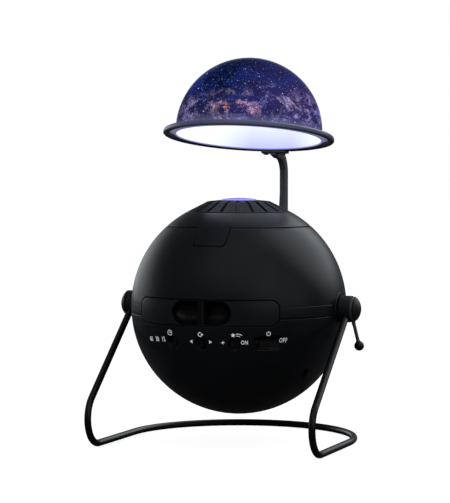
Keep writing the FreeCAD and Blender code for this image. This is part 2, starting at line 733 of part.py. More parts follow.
# ---------------------------------------------------------------------------------------------
# Casing
# ---------------------------------------------------------------------------------------------


def shell_between(name, outer, inner, low, high):
    """A slice of a hollow ball between two heights."""
    hollow = cut(name + "_hollow", globe(name + "_outside", outer), globe(name + "_inside", inner))
    reach = "ball_radius + 5"
    slab = block(name + "_slab", (f"-({reach})", f"-({reach})", low), (reach, reach, high))
    return overlap(name, hollow, slab)


def drawer_hole(name, gap):
    """The solid that cuts the opening of the drawer's front, or fills it where gap is below 0."""
    outline = rounded(
        f"-drawer_half_width - ({gap})",
        f"drawer_half_width + ({gap})",
        f"-drawer_drop - ({gap})",
        f"drawer_rise + ({gap})",
        f"drawer_corner + ({gap})",
    )
    return padded(name, "XZ_Plane", outline, "ball_radius - drawer_root + 1", "drawer_root")


def tab_outline(gap):
    """The outline of the cover's tab, grown by a gap; its lower corners are round."""
    half, low = f"(tab_half_width + ({gap}))", f"(tab_bottom - ({gap}))"
    return [
        (f"-{half}", "cover_seam + 2"),
        (f"-{half}", f"{low} + tab_corner"),
        (f"-{half} + tab_corner", low, "tab_corner", 1),
        (f"{half} - tab_corner", low),
        (half, f"{low} + tab_corner", "tab_corner", 1),
        (half, "cover_seam + 2"),
    ]


def bearing_holes(name):
    """What both halves of the casing leave open for the two bearings."""
    tools = []
    for side, word, turn in ((1, "right", TO_RIGHT), (-1, "left", TO_RIGHT.inverted())):
        neck = drum(
            f"{name}_{word}_neck",
            "neck_radius + fit_gap",
            "2 * neck_length",
            (f"{side} * (collar_reach - collar_step - 2 * neck_length)", 0, 0),
            turn,
        )
        seat = drum(
            f"{name}_{word}_seat",
            "collar_radius + fit_gap",
            "2 * collar_step",
            (f"{side} * (collar_reach - collar_step - fit_gap)", 0, 0),
            turn,
        )
        tools += [neck, seat]
    return fuse(name, *tools)


def post(name, x, y, low, high):
    return drum(name, "post_radius", f"({high}) - ({low})", (x, y, low))


def post_places():
    """The four screw posts of the casing, as (word, x, y)."""
    return (
        ("back_right", "post_x", "post_y_back"),
        ("back_left", "-post_x", "post_y_back"),
        ("front_right", "post_x", "-post_y_front"),
        ("front_left", "-post_x", "-post_y_front"),
    )


def foot_places():
    """The four posts under the chassis, as (word, x, y)."""
    return (
        ("back_right", "foot_x", "foot_y"),
        ("back_left", "-foot_x", "foot_y"),
        ("front_right", "foot_x", "-foot_y"),
        ("front_left", "-foot_x", "-foot_y"),
    )


SWITCHES = ("timer", "turn", "star")


def scoop(word):
    """A round switch recess with sloping sides, drawn at the front."""
    cone = primitive(
        "Cone",
        f"{word}_scoop_cone",
        {"Radius1": "scoop_floor", "Radius2": "scoop_radius + 0.9", "Height": "recess_depth + 2"},
        (0, "-(switch_ring - recess_depth)", "-switch_drop"),
        TO_FRONT,
    )
    return cone


def stem_slot(word, travel_left, travel_right):
    """The slot through which a knob's stem reaches its switch, drawn at the front."""
    half = "(stem_width / 2 + slide_gap)"
    tall = "(stem_height / 2 + slide_gap)"
    return block(
        f"{word}_slot",
        (f"-{half} - ({travel_left})", "-switch_ring", f"-switch_drop - {tall}"),
        (f"{half} + ({travel_right})", "-(switch_reach - 1)", f"-switch_drop + {tall}"),
    )


def power_recess():
    """The power switch's recess: a trapezoid, wider above, whose sides slope to its floor."""
    top, bottom, tall = "power_top_width / 2", "power_bottom_width / 2", "power_height / 2"
    body = doc.addObject("PartDesign::Body", "power_recess")
    sections = []
    for name, shrink, depth in (("power_mouth", "0", "-1"), ("power_floor", "bevel", "recess_depth")):
        sketch = sketch_on(body, "XZ_Plane", name, f"switch_ring - ({depth})")
        grow = "bevel / recess_depth"
        inset = f"({shrink})" if depth != "-1" else f"(-{grow})"
        draw(
            sketch,
            [
                (f"-{top} + {inset}", f"-switch_drop + {tall} - {inset}"),
                (f"-{bottom} + {inset}", f"-switch_drop - {tall} + {inset}"),
                (f"{bottom} - {inset}", f"-switch_drop - {tall} + {inset}"),
                (f"{top} - {inset}", f"-switch_drop + {tall} - {inset}"),
            ],
        )
        sections.append(sketch)
    loft = body.newObject("PartDesign::AdditiveLoft", "power_recess_loft")
    loft.Profile = sections[0]
    loft.Sections = [sections[1]]
    loft.Ruled = True
    return body


def switch_cuts():
    """All four switch recesses with their slots, each swung to its bearing."""
    tools = []
    for word in SWITCHES:
        both = fuse(f"{word}_cut", scoop(word), stem_slot(word, "switch_travel", "switch_travel"))
        tools.append(swung(f"{word}_cut_placed", both, f"{word}_angle"))
    both = fuse("power_cut", power_recess(), stem_slot("power", "power_travel / 2", "power_travel / 2"))
    tools.append(swung("power_cut_placed", both, "power_angle"))
    return fuse("switch_cuts", *tools)


def switch_backs():
    """The thicker places behind the switch recesses, inside the casing."""
    backs = []
    for word, half in tuple((w, "(scoop_radius + 1)") for w in SWITCHES) + (
        ("power", "(power_top_width / 2)"),
    ):
        pad = block(
            f"{word}_back",
            (f"-{half}", "-(switch_ring - 0.5)", f"-switch_drop - power_height / 2 - 0.5"),
            (half, "-(switch_ring - recess_depth - recess_wall)", "-switch_drop + power_height / 2"),
        )
        backs.append(swung(f"{word}_back_placed", pad, f"{word}_angle"))
    return overlap(
        "switch_backs", fuse("switch_pads", *backs), globe("backs_limit", "ball_radius - 0.6")
    )


def make_lower_shell():
    """The lower half: lip, drawer opening, switch recesses, screw posts and power inlet."""
    wall = shell_between(
        "lower_wall",
        "ball_radius",
        "ball_radius - ball_wall",
        "-ball_radius - 1",
        "-seam_drop - seam_gap / 2",
    )
    lip = shell_between(
        "lower_lip",
        "ball_radius - ball_wall / 2 - fit_gap",
        "ball_radius - ball_wall",
        "-seam_drop - 1",
        "-seam_drop + lip_height",
    )
    posts = [
        post(f"low_post_{word}", x, y, "-ball_radius", "-seam_drop - fit_gap")
        for word, x, y in post_places()
    ]
    feet = [
        post(f"foot_{word}", x, y, "-ball_radius", "-chassis_bottom - fit_gap")
        for word, x, y in foot_places()
    ]
    inner = overlap(
        "lower_posts",
        fuse("low_posts_joined", *posts, *feet),
        globe("posts_limit", "ball_radius - ball_wall / 2"),
    )
    solid = fuse("lower_solid", wall, lip, switch_backs(), inner)
    screw_ways = []
    for word, x, y in post_places():
        way = drum(f"way_{word}", "screw_radius + fit_gap", "ball_radius", (x, y, "-ball_radius"))
        sink = drum(
            f"sink_{word}",
            "screw_head + fit_gap",
            "ball_radius - case_screw_seat",
            (x, y, "-ball_radius"),
        )
        screw_ways += [way, sink]
    for word, x, y in foot_places():
        bite = drum(f"bite_{word}", "screw_radius", 10, (x, y, "-chassis_bottom - fit_gap - 8"))
        screw_ways.append(bite)
    half = "(inlet_width / 2 + inlet_wall + fit_gap)"
    tall = "(inlet_height / 2 + inlet_wall + fit_gap)"
    mouth = block(
        "inlet_hole",
        (f"-{half}", "ball_radius - 20", f"-inlet_drop - {tall}"),
        (half, "ball_radius + 1", f"-inlet_drop + {tall}"),
    )
    opening = drawer_hole("lower_drawer_hole", "seam_gap")
    shell = cut(
        "lower_shell", solid, opening, bearing_holes("lower_bearings"), switch_cuts(), mouth, *screw_ways
    )
    keep(shell, "lower_shell")


def make_upper_shell():
    """The upper half: rebate for the lip, drawer opening, cover seat, ledge and screw posts."""
    wall = shell_between(
        "upper_wall",
        "ball_radius",
        "ball_radius - ball_wall",
        "-seam_drop + seam_gap / 2",
        "cover_seam - seam_gap / 2",
    )
    rebate = shell_between(
        "upper_rebate",
        "ball_radius - ball_wall / 2",
        "ball_radius - ball_wall - 2",
        "-seam_drop - 1",
        "-seam_drop + lip_height + fit_gap",
    )
    ledge = overlap(
        "mount_ledge",
        cut(
            "ledge_ring",
            drum(
                "ledge_disc",
                "ball_radius",
                "flange_thickness",
                (0, 0, "mount_seat - flange_thickness"),
            ),
            drum(
                "ledge_hole",
                "mount_flange_radius - flange_bite",
                "2 * flange_thickness",
                (0, 0, "mount_seat - 1.5 * flange_thickness"),
            ),
        ),
        globe("ledge_limit", "ball_radius - ball_wall / 2"),
    )
    posts = overlap(
        "upper_posts",
        fuse(
            "up_posts_joined",
            *[
                post(f"up_post_{word}", x, y, "-seam_drop", "ball_radius")
                for word, x, y in post_places()
            ],
        ),
        globe("up_posts_limit", "ball_radius - ball_wall / 2"),
    )
    solid = fuse("upper_solid", cut("upper_rebated", wall, rebate), ledge, posts)
    ways = [
        drum(f"up_way_{word}", "screw_radius", 14, (x, y, "-seam_drop - 1"))
        for word, x, y in post_places()
    ]
    notch = padded("tab_notch", "XZ_Plane", tab_outline(0), "ball_radius", "ring_radius / 2")
    opening = drawer_hole("upper_drawer_hole", "seam_gap")
    shell = cut("upper_shell", solid, opening, bearing_holes("upper_bearings"), notch, *ways)
    keep(shell, "upper_shell")


def make_top_cover():
    """The cover around the focus ring: a slice of the ball with a lip below and a tab in front."""
    slice_ = shell_between(
        "cover_slice",
        "ball_radius",
        "ball_radius - ball_wall",
        "cover_seam + seam_gap / 2",
        "ring_edge + 1",
    )
    lip = cut(
        "cover_lip",
        drum(
            "lip_outside",
            "mount_flange_radius + cover_lip",
            "seat_drop + ball_wall / 2",
            (0, 0, "mount_seat + fit_gap"),
        ),
        drum(
            "lip_inside",
            "mount_flange_radius + 3 * fit_gap",
            "2 * seat_drop",
            (0, 0, "mount_seat - 1"),
        ),
    )
    flap = overlap(
        "cover_tab",
        cut(
            "tab_wall",
            globe("tab_outside", "ball_radius"),
            globe("tab_inside", "ball_radius - ball_wall"),
        ),
        padded("tab_prism", "XZ_Plane", tab_outline("-seam_gap"), "ball_radius", "ring_radius / 2"),
    )
    hole = drum("cover_hole", "ring_radius + seam_gap", 30, (0, 0, "cover_seam - 12"))
    cover = cut("top_cover", fuse("cover_joined", slice_, lip, flap), hole)
    keep(cover, "top_cover")


def make_case_screws():
    """Four screws that hold the casing's halves together, put in from below."""
    screws = []
    for word, x, y in post_places():
        shank = drum(
            f"case_shank_{word}", "screw_radius - fit_gap / 2", 24, (x, y, "-case_screw_seat - 1")
        )
        head = drum(
            f"case_head_{word}",
            "screw_head",
            "screw_head_depth",
            (x, y, "-case_screw_seat - screw_head_depth - fit_gap / 2"),
        )
        screws.append(fuse(f"case_screw_{word}", shank, head))
    group = doc.addObject("Part::Compound", "case_screws")
    group.Links = screws
    keep(group, "case_screws")


# ---------------------------------------------------------------------------------------------
# Lens and focus ring
# ---------------------------------------------------------------------------------------------


def make_focus_ring():
    """The ribbed ring: a low cone with radial grip slots, and a sleeve that guides the barrel."""
    sleeve = "barrel_radius + run_gap"
    outer_sleeve = "barrel_radius + run_gap + skirt_wall"
    under_cone = "ring_shoulder - ring_wall"
    outline = [
        (sleeve, "skirt_bottom"),
        (outer_sleeve, "skirt_bottom"),
        (outer_sleeve, "mount_top + fit_gap"),
        (f"{outer_sleeve} + mount_wall", "mount_top + fit_gap"),
        (f"{outer_sleeve} + mount_wall", under_cone),
        ("ring_shoulder_radius - ring_wall / 3", under_cone),
        ("ring_radius - 0.75 * ring_wall", "ring_edge - ring_skirt"),
        ("ring_radius", "ring_edge - ring_skirt"),
        ("ring_radius", "ring_edge"),
        ("ring_shoulder_radius", "ring_shoulder"),
        (f"{sleeve} + ring_bevel", "ring_top"),
        (sleeve, "ring_top - ring_bevel"),
    ]
    body = turned("focus_ring", outline)
    slope = "cone_rise / (ring_radius - ring_shoulder_radius)"
    start, end = "(barrel_radius + rib_start)", "(ring_radius - rib_margin)"
    sketch = sketch_on(body, "XZ_Plane", "slot_outline")
    draw(
        sketch,
        [
            (start, "ring_top + 2"),
            (start, "ring_top - rib_slot_depth / 2"),
            ("ring_shoulder_radius", "ring_shoulder - rib_slot_depth"),
            (end, f"ring_edge - rib_slot_depth + rib_margin * {slope}"),
            (end, "ring_top + 2"),
        ],
    )
    slot = body.newObject("PartDesign::Pocket", "grip_slot")
    slot.Profile = sketch
    slot.Midplane = True
    bind(slot, {"Length": "rib_slot"})
    doc.recompute()
    ribs = body.newObject("PartDesign::PolarPattern", "grip_slots")
    ribs.Originals = [slot]
    ribs.Axis = (body.Origin.OriginFeatures[2], [""])
    ribs.Angle = 360
    bind(ribs, {"Occurrences": "rib_count"})
    body.Tip = ribs
    keep(body, "focus_ring")


def make_barrel():
    """The lens barrel with its two seats, the lenses and the ring that holds the front lens."""
    inner = "barrel_radius - barrel_wall"
    outline = [
        (f"{inner} - lens_stop", "barrel_bottom"),
        ("barrel_radius", "barrel_bottom"),
        ("barrel_radius", "barrel_top"),
        (inner, "barrel_top"),
        (inner, "barrel_top - lens_sink"),
        (f"{inner} - lens_stop", "barrel_top - lens_sink"),
        (f"{inner} - lens_stop", "barrel_top - lens_sink - 1"),
        (inner, "barrel_top - lens_sink - 1 - lens_stop"),
        (inner, "barrel_bottom + lens_stop"),
        (f"{inner} - lens_stop", "barrel_bottom + lens_stop"),
    ]
    keep(turned("lens_barrel", outline), "lens_barrel")

    lens_radius = f"{inner} - fit_gap"
    seat = "barrel_top - lens_sink"
    edge = f"{seat} + lens_edge"
    crown = f"(({lens_radius}) ^ 2 + lens_crown ^ 2) / (2 * lens_crown)"
    outline = [
        ("0", seat),
        (lens_radius, seat),
        (lens_radius, edge),
        ("0", f"{edge} + lens_crown", crown, 1),
    ]
    keep(turned("front_lens", outline), "front_lens")

    low = "barrel_bottom + lens_stop + fit_gap"
    outline = [
        ("0", low),
        (lens_radius, low),
        (lens_radius, f"{low} + lens_edge"),
        ("0", f"{low} + lens_edge + lens_crown", crown, 1),
    ]
    keep(turned("rear_lens", outline), "rear_lens")

    outline = [
        (f"{lens_radius} - 0.9", f"{edge} + 0.5"),
        (lens_radius, f"{edge} + 0.05"),
        (lens_radius, "barrel_top"),
        (f"{lens_radius} - 0.5", "barrel_top"),
    ]
    keep(turned("lens_retainer", outline), "lens_retainer")


def make_lens_mount():
    """The fixed tube that carries the focus ring, with the flange that rests on the ledge."""
    bore = "barrel_radius + 2 * run_gap + skirt_wall"
    outer = f"{bore} + mount_wall"
    top = "mount_seat + fit_gap + flange_thickness"
    outline = [
        (bore, "mount_bottom"),
        (outer, "mount_bottom"),
        (outer, "mount_seat + fit_gap - mount_web"),
        (f"{outer} + mount_web", "mount_seat + fit_gap"),
        ("mount_flange_radius", "mount_seat + fit_gap"),
        ("mount_flange_radius", top),
        (f"{outer} + mount_web", top),
        (outer, f"{top} + mount_web"),
        (outer, "mount_top"),
        (bore, "mount_top"),
    ]
    keep(turned("lens_mount", outline), "lens_mount")


# ---------------------------------------------------------------------------------------------
# Disc drawer and its drive
# ---------------------------------------------------------------------------------------------


def make_drawer_front():
    """The drawer's front: a piece of the ball with two finger hollows and the rib to pinch."""
    half = "(grip_half_width + 1.6)"
    room = cut(
        "drawer_room",
        globe("drawer_inside", "ball_radius - drawer_wall"),
        block(
            "grip_block",
            (f"-{half}", "-ball_radius", "-drawer_drop - 1"),
            (half, "-(ball_radius - grip_back)", "drawer_rise + 1"),
        ),
    )
    wall = cut("drawer_patch", globe("drawer_outside", "ball_radius"), room)
    solid = overlap("drawer_solid", wall, drawer_hole("drawer_prism", 0))
    middle = "(drawer_rise - drawer_drop) / 2"
    axis_y = "-(ball_radius - grip_sink)"
    reach = "(grip_half_width - grip_radius)"
    hollow = fuse(
        "grip_hollow",
        drum("grip_trough", "grip_radius", f"2 * {reach}", (f"-{reach}", axis_y, middle), TO_RIGHT),
        globe("grip_end_right", "grip_radius", (reach, axis_y, middle)),
        globe("grip_end_left", "grip_radius", (f"-{reach}", axis_y, middle)),
    )
    rib = drum(
        "grip_rib_round",
        "grip_rib / 2",
        "2 * grip_radius + 2",
        (0, "-(ball_radius - grip_rib / 2 - 0.5)", f"{middle} - grip_radius - 1"),
    )
    stalk = block(
        "grip_rib_stalk",
        ("-grip_rib / 2", "-(ball_radius - grip_rib / 2 - 0.5)", f"{middle} - grip_radius - 1"),
        ("grip_rib / 2", "-(ball_radius - grip_back)", f"{middle} + grip_radius + 1"),
    )
    front = cut("drawer_front", solid, cut("finger_hollows", hollow, rib, stalk))
    keep(front, "drawer_front")


def make_tray():
    """The tray behind the drawer's front, with the raised collar on which the turntable turns."""
    plate = overlap(
        "tray_plate",
        block(
            "tray_slab",
            ("-tray_half_width", "-(ball_radius - grip_back - fit_gap)", "-tray_top - tray_thickness"),
            ("tray_half_width", "tray_back", "-tray_top"),
        ),
        globe("tray_limit", "ball_radius - drawer_wall - 0.3"),
    )
    collar = drum(
        "tray_collar", "disc_seat - run_gap", "tray_top + tray_thickness / 2", (0, 0, "-tray_top - 1")
    )
    hole = drum("tray_window", "light_window", 10, (0, 0, "-tray_top - 5"))
    keep(cut("disc_tray", fuse("tray_joined", plate, collar), hole), "disc_tray")


def involute(base, radius, turn):
    """The point of an involute of the base circle at a radius, its root turned by an angle."""
    roll = math.sqrt((radius / base) ** 2 - 1)
    angle = turn + roll - math.atan(roll)
    return FreeCAD.Vector(radius * math.sin(angle), radius * math.cos(angle), 0)


def add_teeth(body, name, count, lift, length):
    """One involute tooth on the body's rim, repeated around the upright axis."""
    teeth, module = number(count), number("gear_module")
    pitch = module * teeth / 2
    tip = pitch + module * number("tooth_height")
    root = pitch - module * number("tooth_root")
    slant = math.radians(number("pressure_angle"))
    base = pitch * math.cos(slant)
    half = (math.pi * module / 2 - number("backlash") / 2) / pitch / 2
    start = -(half + math.tan(slant) - slant)
    foot = max(base, root)
    flank = [involute(base, r, start) for r in (foot, (foot + tip) / 2, tip)]
    other = [FreeCAD.Vector(-p.x, p.y, 0) for p in flank]
    deep = (root - 0.3) / foot
    left_root, right_root = flank[0] * deep, other[0] * deep
    sketch = sketch_on(body, "XY_Plane", name + "_outline", lift)
    sketch.addGeometry(
        [
            Part.LineSegment(left_root, flank[0]),
            Part.Arc(*flank),
            Part.Arc(flank[2], FreeCAD.Vector(0, tip, 0), other[2]),
            Part.Arc(*reversed(other)),
            Part.LineSegment(other[0], right_root),
            Part.LineSegment(right_root, left_root),
        ]
    )
    tooth = body.newObject("PartDesign::Pad", name + "_tooth")
    tooth.Profile = sketch
    bind(tooth, {"Length": length})
    doc.recompute()
    pattern = body.newObject("PartDesign::PolarPattern", name + "_teeth")
    pattern.Originals = [tooth]
    pattern.Axis = (body.Origin.OriginFeatures[2], [""])
    pattern.Angle = 360
    bind(pattern, {"Occurrences": count})
    body.Tip = pattern


def make_turntable():
    """The turntable: a ring with teeth on its rim and a step that holds the star disc."""
    rim = "wheel_radius - gear_module * tooth_root"
    low, top = "turntable_bottom", "turntable_bottom + gear_thickness"
    outline = [
        ("disc_seat", low),
        (rim, low),
        (rim, top),
        ("disc_radius + slide_gap", top),
        ("disc_radius + slide_gap", "disc_bottom"),
        ("disc_seat", "disc_bottom"),
    ]
    body = turned("turntable", outline)
    doc.recompute()
    add_teeth(body, "wheel", "wheel_teeth", low, "gear_thickness")
    keep(body, "turntable")
    disc = drum("disc_blank", "disc_radius", "disc_thickness", (0, 0, "disc_bottom"))
    placed = doc.addObject("Part::Compound", "disc_placed")
    placed.Links = [disc]
    keep(placed, "star_disc")


def make_motor():
    """The gear motor under the chassis, its upright shaft, and the pinion on that shaft."""
    low, top = "turntable_bottom + 0.3", "gear_thickness - 0.6"
    outline = [
        ("shaft_radius + fit_gap / 2", low),
        ("pinion_radius - gear_module * tooth_root", low),
        ("pinion_radius - gear_module * tooth_root", f"{low} + {top}"),
        ("shaft_radius + fit_gap / 2", f"{low} + {top}"),
    ]
    body = turned("drive_pinion", outline)
    doc.recompute()
    add_teeth(body, "pinion", "pinion_teeth", low, top)
    body.Placement = FreeCAD.Placement(
        FreeCAD.Vector(), FreeCAD.Rotation(FreeCAD.Vector(0, 0, 1), 1)
    )
    bind(
        body,
        {
            "Placement.Base.y": "pinion_y",
            "Placement.Rotation.Angle": "180 + 180 / pinion_teeth",
        },
    )
    keep(body, "drive_pinion")
    shaft = drum(
        "motor_shaft_drum",
        "shaft_radius",
        "chassis_bottom + turntable_bottom + gear_thickness",
        (0, "pinion_y", "-chassis_bottom - 1"),
    )
    group = doc.addObject("Part::Compound", "motor_shaft")
    group.Links = [shaft]
    keep(group, "motor_shaft")
    can = drum(
        "motor_can",
        "motor_radius",
        "motor_length",
        (0, "pinion_y", "-chassis_bottom - fit_gap - motor_length"),
    )
    well = drum("motor_well", "shaft_radius + fit_gap", 4, (0, "pinion_y", "-chassis_bottom - 1.2"))
    keep(cut("gear_motor", can, well), "gear_motor")


# ---------------------------------------------------------------------------------------------
# Chassis, lamp and boards
# ---------------------------------------------------------------------------------------------


def make_chassis():
    """The plate inside the ball: drawer rails above it, a lamp hole and screw holes through it."""
    plate = drum(
        "chassis_disc", "chassis_radius", "chassis_thickness", (0, 0, "-chassis_bottom")
    )
    rails, grooves = [], []
    for side, word in ((1, "right"), (-1, "left")):
        near, far = "tray_half_width - rail_bite", "tray_half_width - rail_bite + rail_width"
        inner, outer = (near, far) if side > 0 else (f"-({far})", f"-({near})")
        rails.append(
            block(
                f"{word}_rail",
                (inner, "-chassis_radius + 8", "-chassis_bottom"),
                (outer, "tray_back - 1", "0.6"),
            )
        )
        slot_low = "0" if side > 0 else "-(tray_half_width + slide_gap)"
        slot_high = "tray_half_width + slide_gap" if side > 0 else "0"
        grooves.append(
            block(
                f"{word}_groove",
                (slot_low, "-chassis_radius", "-tray_top - tray_thickness - slide_gap"),
                (slot_high, "tray_back + 5", "-tray_top + slide_gap"),
            )
        )
    under = "-chassis_bottom - 1"
    lamp = drum("lamp_hole", "condenser_radius + holder_wall + fit_gap", 10, (0, 0, under))
    shaft = drum("shaft_hole", "shaft_radius + fit_gap", 10, (0, "pinion_y", under))
    holes = [
        drum(f"chassis_hole_{word}", "screw_radius + fit_gap", 10, (x, y, under))
        for word, x, y in foot_places()
    ]
    solid = fuse("chassis_solid", plate, *rails)
    keep(cut("chassis", solid, lamp, shaft, *holes, *grooves), "chassis")

    screws = []
    for word, x, y in foot_places():
        shank = drum(
            f"chassis_shank_{word}",
            "screw_radius - fit_gap / 2",
            "chassis_thickness + 7",
            (x, y, "-chassis_top - chassis_thickness - 7"),
        )
        head = drum(
            f"chassis_head_{word}", "screw_head", "screw_head_depth", (x, y, "-chassis_top")
        )
        screws.append(fuse(f"chassis_screw_{word}", shank, head))
    group = doc.addObject("Part::Compound", "chassis_screws")
    group.Links = screws
    keep(group, "chassis_screws")


def make_lamp():
    """The lamp under the drawer: condenser lens and holder, lamp board, and finned heat sink."""
    inner = "condenser_radius"
    outer = "condenser_radius + holder_wall"
    top = "-chassis_top + holder_rise"
    outline = [
        (f"{inner} - lens_stop", "-lamp_level + fit_gap"),
        (outer, "-lamp_level + fit_gap"),
        (outer, "-chassis_bottom - fit_gap - flange_thickness"),
        (f"{outer} + holder_flange", "-chassis_bottom - fit_gap - flange_thickness"),
        (f"{outer} + holder_flange", "-chassis_bottom - fit_gap"),
        (outer, "-chassis_bottom - fit_gap"),
        (outer, top),
        (f"{inner} + fit_gap", top),
        (f"{inner} + fit_gap", f"{top} - holder_pocket"),
        (f"{inner} - lens_stop", f"{top} - holder_pocket"),
    ]
    keep(turned("condenser_holder", outline), "condenser_holder")

    seat = f"{top} - holder_pocket + fit_gap"
    crown = "(condenser_radius ^ 2 + condenser_bulge ^ 2) / (2 * condenser_bulge)"
    outline = [
        ("0", seat),
        (inner, seat),
        (inner, f"{seat} + condenser_edge"),
        ("0", f"{seat} + condenser_edge + condenser_bulge", crown, 1),
    ]
    keep(turned("condenser_lens", outline), "condenser_lens")

    under = "-lamp_level - board_thickness"
    board = drum("lamp_board_disc", "sink_radius - 1", "board_thickness", (0, 0, under))
    chip = block("lamp_chip", ("-1.75", "-1.75", "-lamp_level"), ("1.75", "1.75", "-lamp_level + 1"))
    dome = globe("lamp_dome", 1.6, (0, 0, "-lamp_level + 1"))
    keep(fuse("lamp_board", board, chip, dome), "lamp_board")

    base = "lamp_level + board_thickness"
    plate = drum("sink_plate", "sink_radius", 3, (0, 0, f"-({base}) - 3"))
    fin = block(
        "sink_fin",
        ("-fin_thickness / 2", "-sink_radius", f"-({base}) - 3 - fin_height"),
        ("fin_thickness / 2", "sink_radius", f"-({base}) - 2.9"),
    )
    row = []
    count = int(number("fin_count"))
    for index in range(count):
        step = f"({index} - (fin_count - 1) / 2) * 2 * (sink_radius - 2) / (fin_count - 1)"
        copy = doc.addObject("Part::Compound", f"sink_fin_{index + 1}")
        copy.Links = [fin]
        row.append(put(copy, (step, 0, 0)))
    fins = overlap(
        "sink_fins",
        fuse("sink_fin_row", *row),
        drum("sink_limit", "sink_radius", 40, (0, 0, f"-({base}) - 30")),
    )
    keep(fuse("heat_sink", plate, fins), "heat_sink")


def make_boards():
    """The control board, which carries the four slide switches, and the power inlet's board."""
    top = "-switch_drop - 2.6"
    disc = drum("board_disc", "switch_reach", "board_thickness", (0, 0, f"{top} - board_thickness"))
    back = block("board_back", ("-70", "-20", "-40"), ("70", "70", "0"))
    waist = drum("board_waist", "sink_radius + 4", 20, (0, 0, "-switch_drop - 12"))
    corner = [
        drum(f"board_clear_{word}", "post_radius + 2", 60, (x, y, "-50"))
        for word, x, y in list(post_places()) + list(foot_places())
    ]
    keep(cut("control_board", disc, back, waist, *corner), "control_board")

    bodies = []
    for word, half in tuple((w, "switch_width / 2") for w in SWITCHES) + (
        ("power", "power_top_width / 2 - 2"),
    ):
        box = block(
            f"{word}_switch_box",
            (f"-({half})", "-(switch_reach - 0.6)", top),
            (half, "-(switch_reach - switch_length)", "-switch_drop + 2.4"),
        )
        bodies.append(swung(f"{word}_switch_placed", box, f"{word}_angle"))
    group = doc.addObject("Part::Compound", "slide_switches")
    group.Links = bodies
    keep(group, "slide_switches")


def make_knob(word, width, rest):
    """A switch's knob: a ridged head in the recess, and a stem that reaches the slide switch."""
    half = f"({width}) / 2"
    floor = "-(switch_ring - recess_depth + slide_gap)"
    head = block(
        f"{word}_knob_head",
        (f"{rest} - {half}", "-(switch_ring - 0.5)", "-switch_drop - knob_height / 2"),
        (f"{rest} + {half}", floor, "-switch_drop + knob_height / 2"),
    )
    stem = block(
        f"{word}_knob_stem",
        (f"{rest} - stem_width / 2", floor, "-switch_drop - stem_height / 2"),
        (f"{rest} + stem_width / 2", "-(switch_reach - 0.4)", "-switch_drop + stem_height / 2"),
    )
    knob = swung(f"{word}_knob_placed", fuse(f"{word}_knob_whole", head, stem), f"{word}_angle")
    keep(knob, f"{word}_knob")


def make_inlet():
    """The power inlet: a small open box in the casing's wall behind, with a contact tongue."""
    half, tall = "(inlet_width / 2)", "(inlet_height / 2)"
    mouth = "sqrt(ball_radius ^ 2 - inlet_drop ^ 2) - 0.8"
    box = block(
        "inlet_box",
        (f"-{half} - inlet_wall", f"{mouth} - inlet_length", f"-inlet_drop - {tall} - inlet_wall"),
        (f"{half} + inlet_wall", mouth, f"-inlet_drop + {tall} + inlet_wall"),
    )
    room = block(
        "inlet_room",
        (f"-{half}", f"{mouth} - inlet_length + 1.5", f"-inlet_drop - {tall}"),
        (half, f"{mouth} + 1", f"-inlet_drop + {tall}"),
    )
    tongue = block(
        "inlet_tongue",
        (f"-{half} + 1.8", f"{mouth} - inlet_length + 1", "-inlet_drop - 0.35"),
        (f"{half} - 1.8", f"{mouth} - 2", "-inlet_drop + 0.35"),
    )
    keep(fuse("power_inlet", cut("inlet_shell", box, room), tongue), "power_inlet")


# ---------------------------------------------------------------------------------------------
# Dome and arm
# ---------------------------------------------------------------------------------------------


RING_MIDDLE = "(rim_radius + dome_radius) / 2"


def make_dome():
    """The translucent dome with its straight skirt, and the ring that holds it."""
    inner = "dome_radius - dome_wall"
    low = "-rim_drop - 1"
    skirt = "-rim_drop + 0.9"
    outline = [
        (inner, skirt),
        ("dome_radius", skirt),
        ("dome_radius", "0"),
        ("0", "dome_radius", "dome_radius", 1),
        ("0", inner),
        (inner, "0", inner, -1),
    ]
    keep_on_dome(turned("dome", outline), "dome")
    hole = "dome_radius + fit_gap"
    outline = [
        (f"{hole} - 0.6", "-rim_drop"),
        ("rim_radius - 0.5", "-rim_drop"),
        ("rim_radius", "-rim_drop + 0.5"),
        ("rim_radius", "-rim_drop + rim_face - 0.5"),
        ("rim_radius - 0.6", "-rim_drop + rim_face"),
        (f"{hole} + 0.6", "-rim_drop + rim_face + 1.1"),
        (hole, "-rim_drop + rim_face + 0.6"),
        (hole, "-rim_drop + 0.8"),
        (f"{hole} - 0.6", "-rim_drop + 0.8"),
    ]
    ring = turned("ring_turned", outline)
    ways = [
        drum(f"ring_way_{word}", 0.8, 3, (f"{side} * (bracket_half_width - 2.6)", RING_MIDDLE, low))
        for side, word in ((1, "right"), (-1, "left"))
    ]
    keep_on_dome(cut("dome_ring", ring, *ways), "dome_ring")


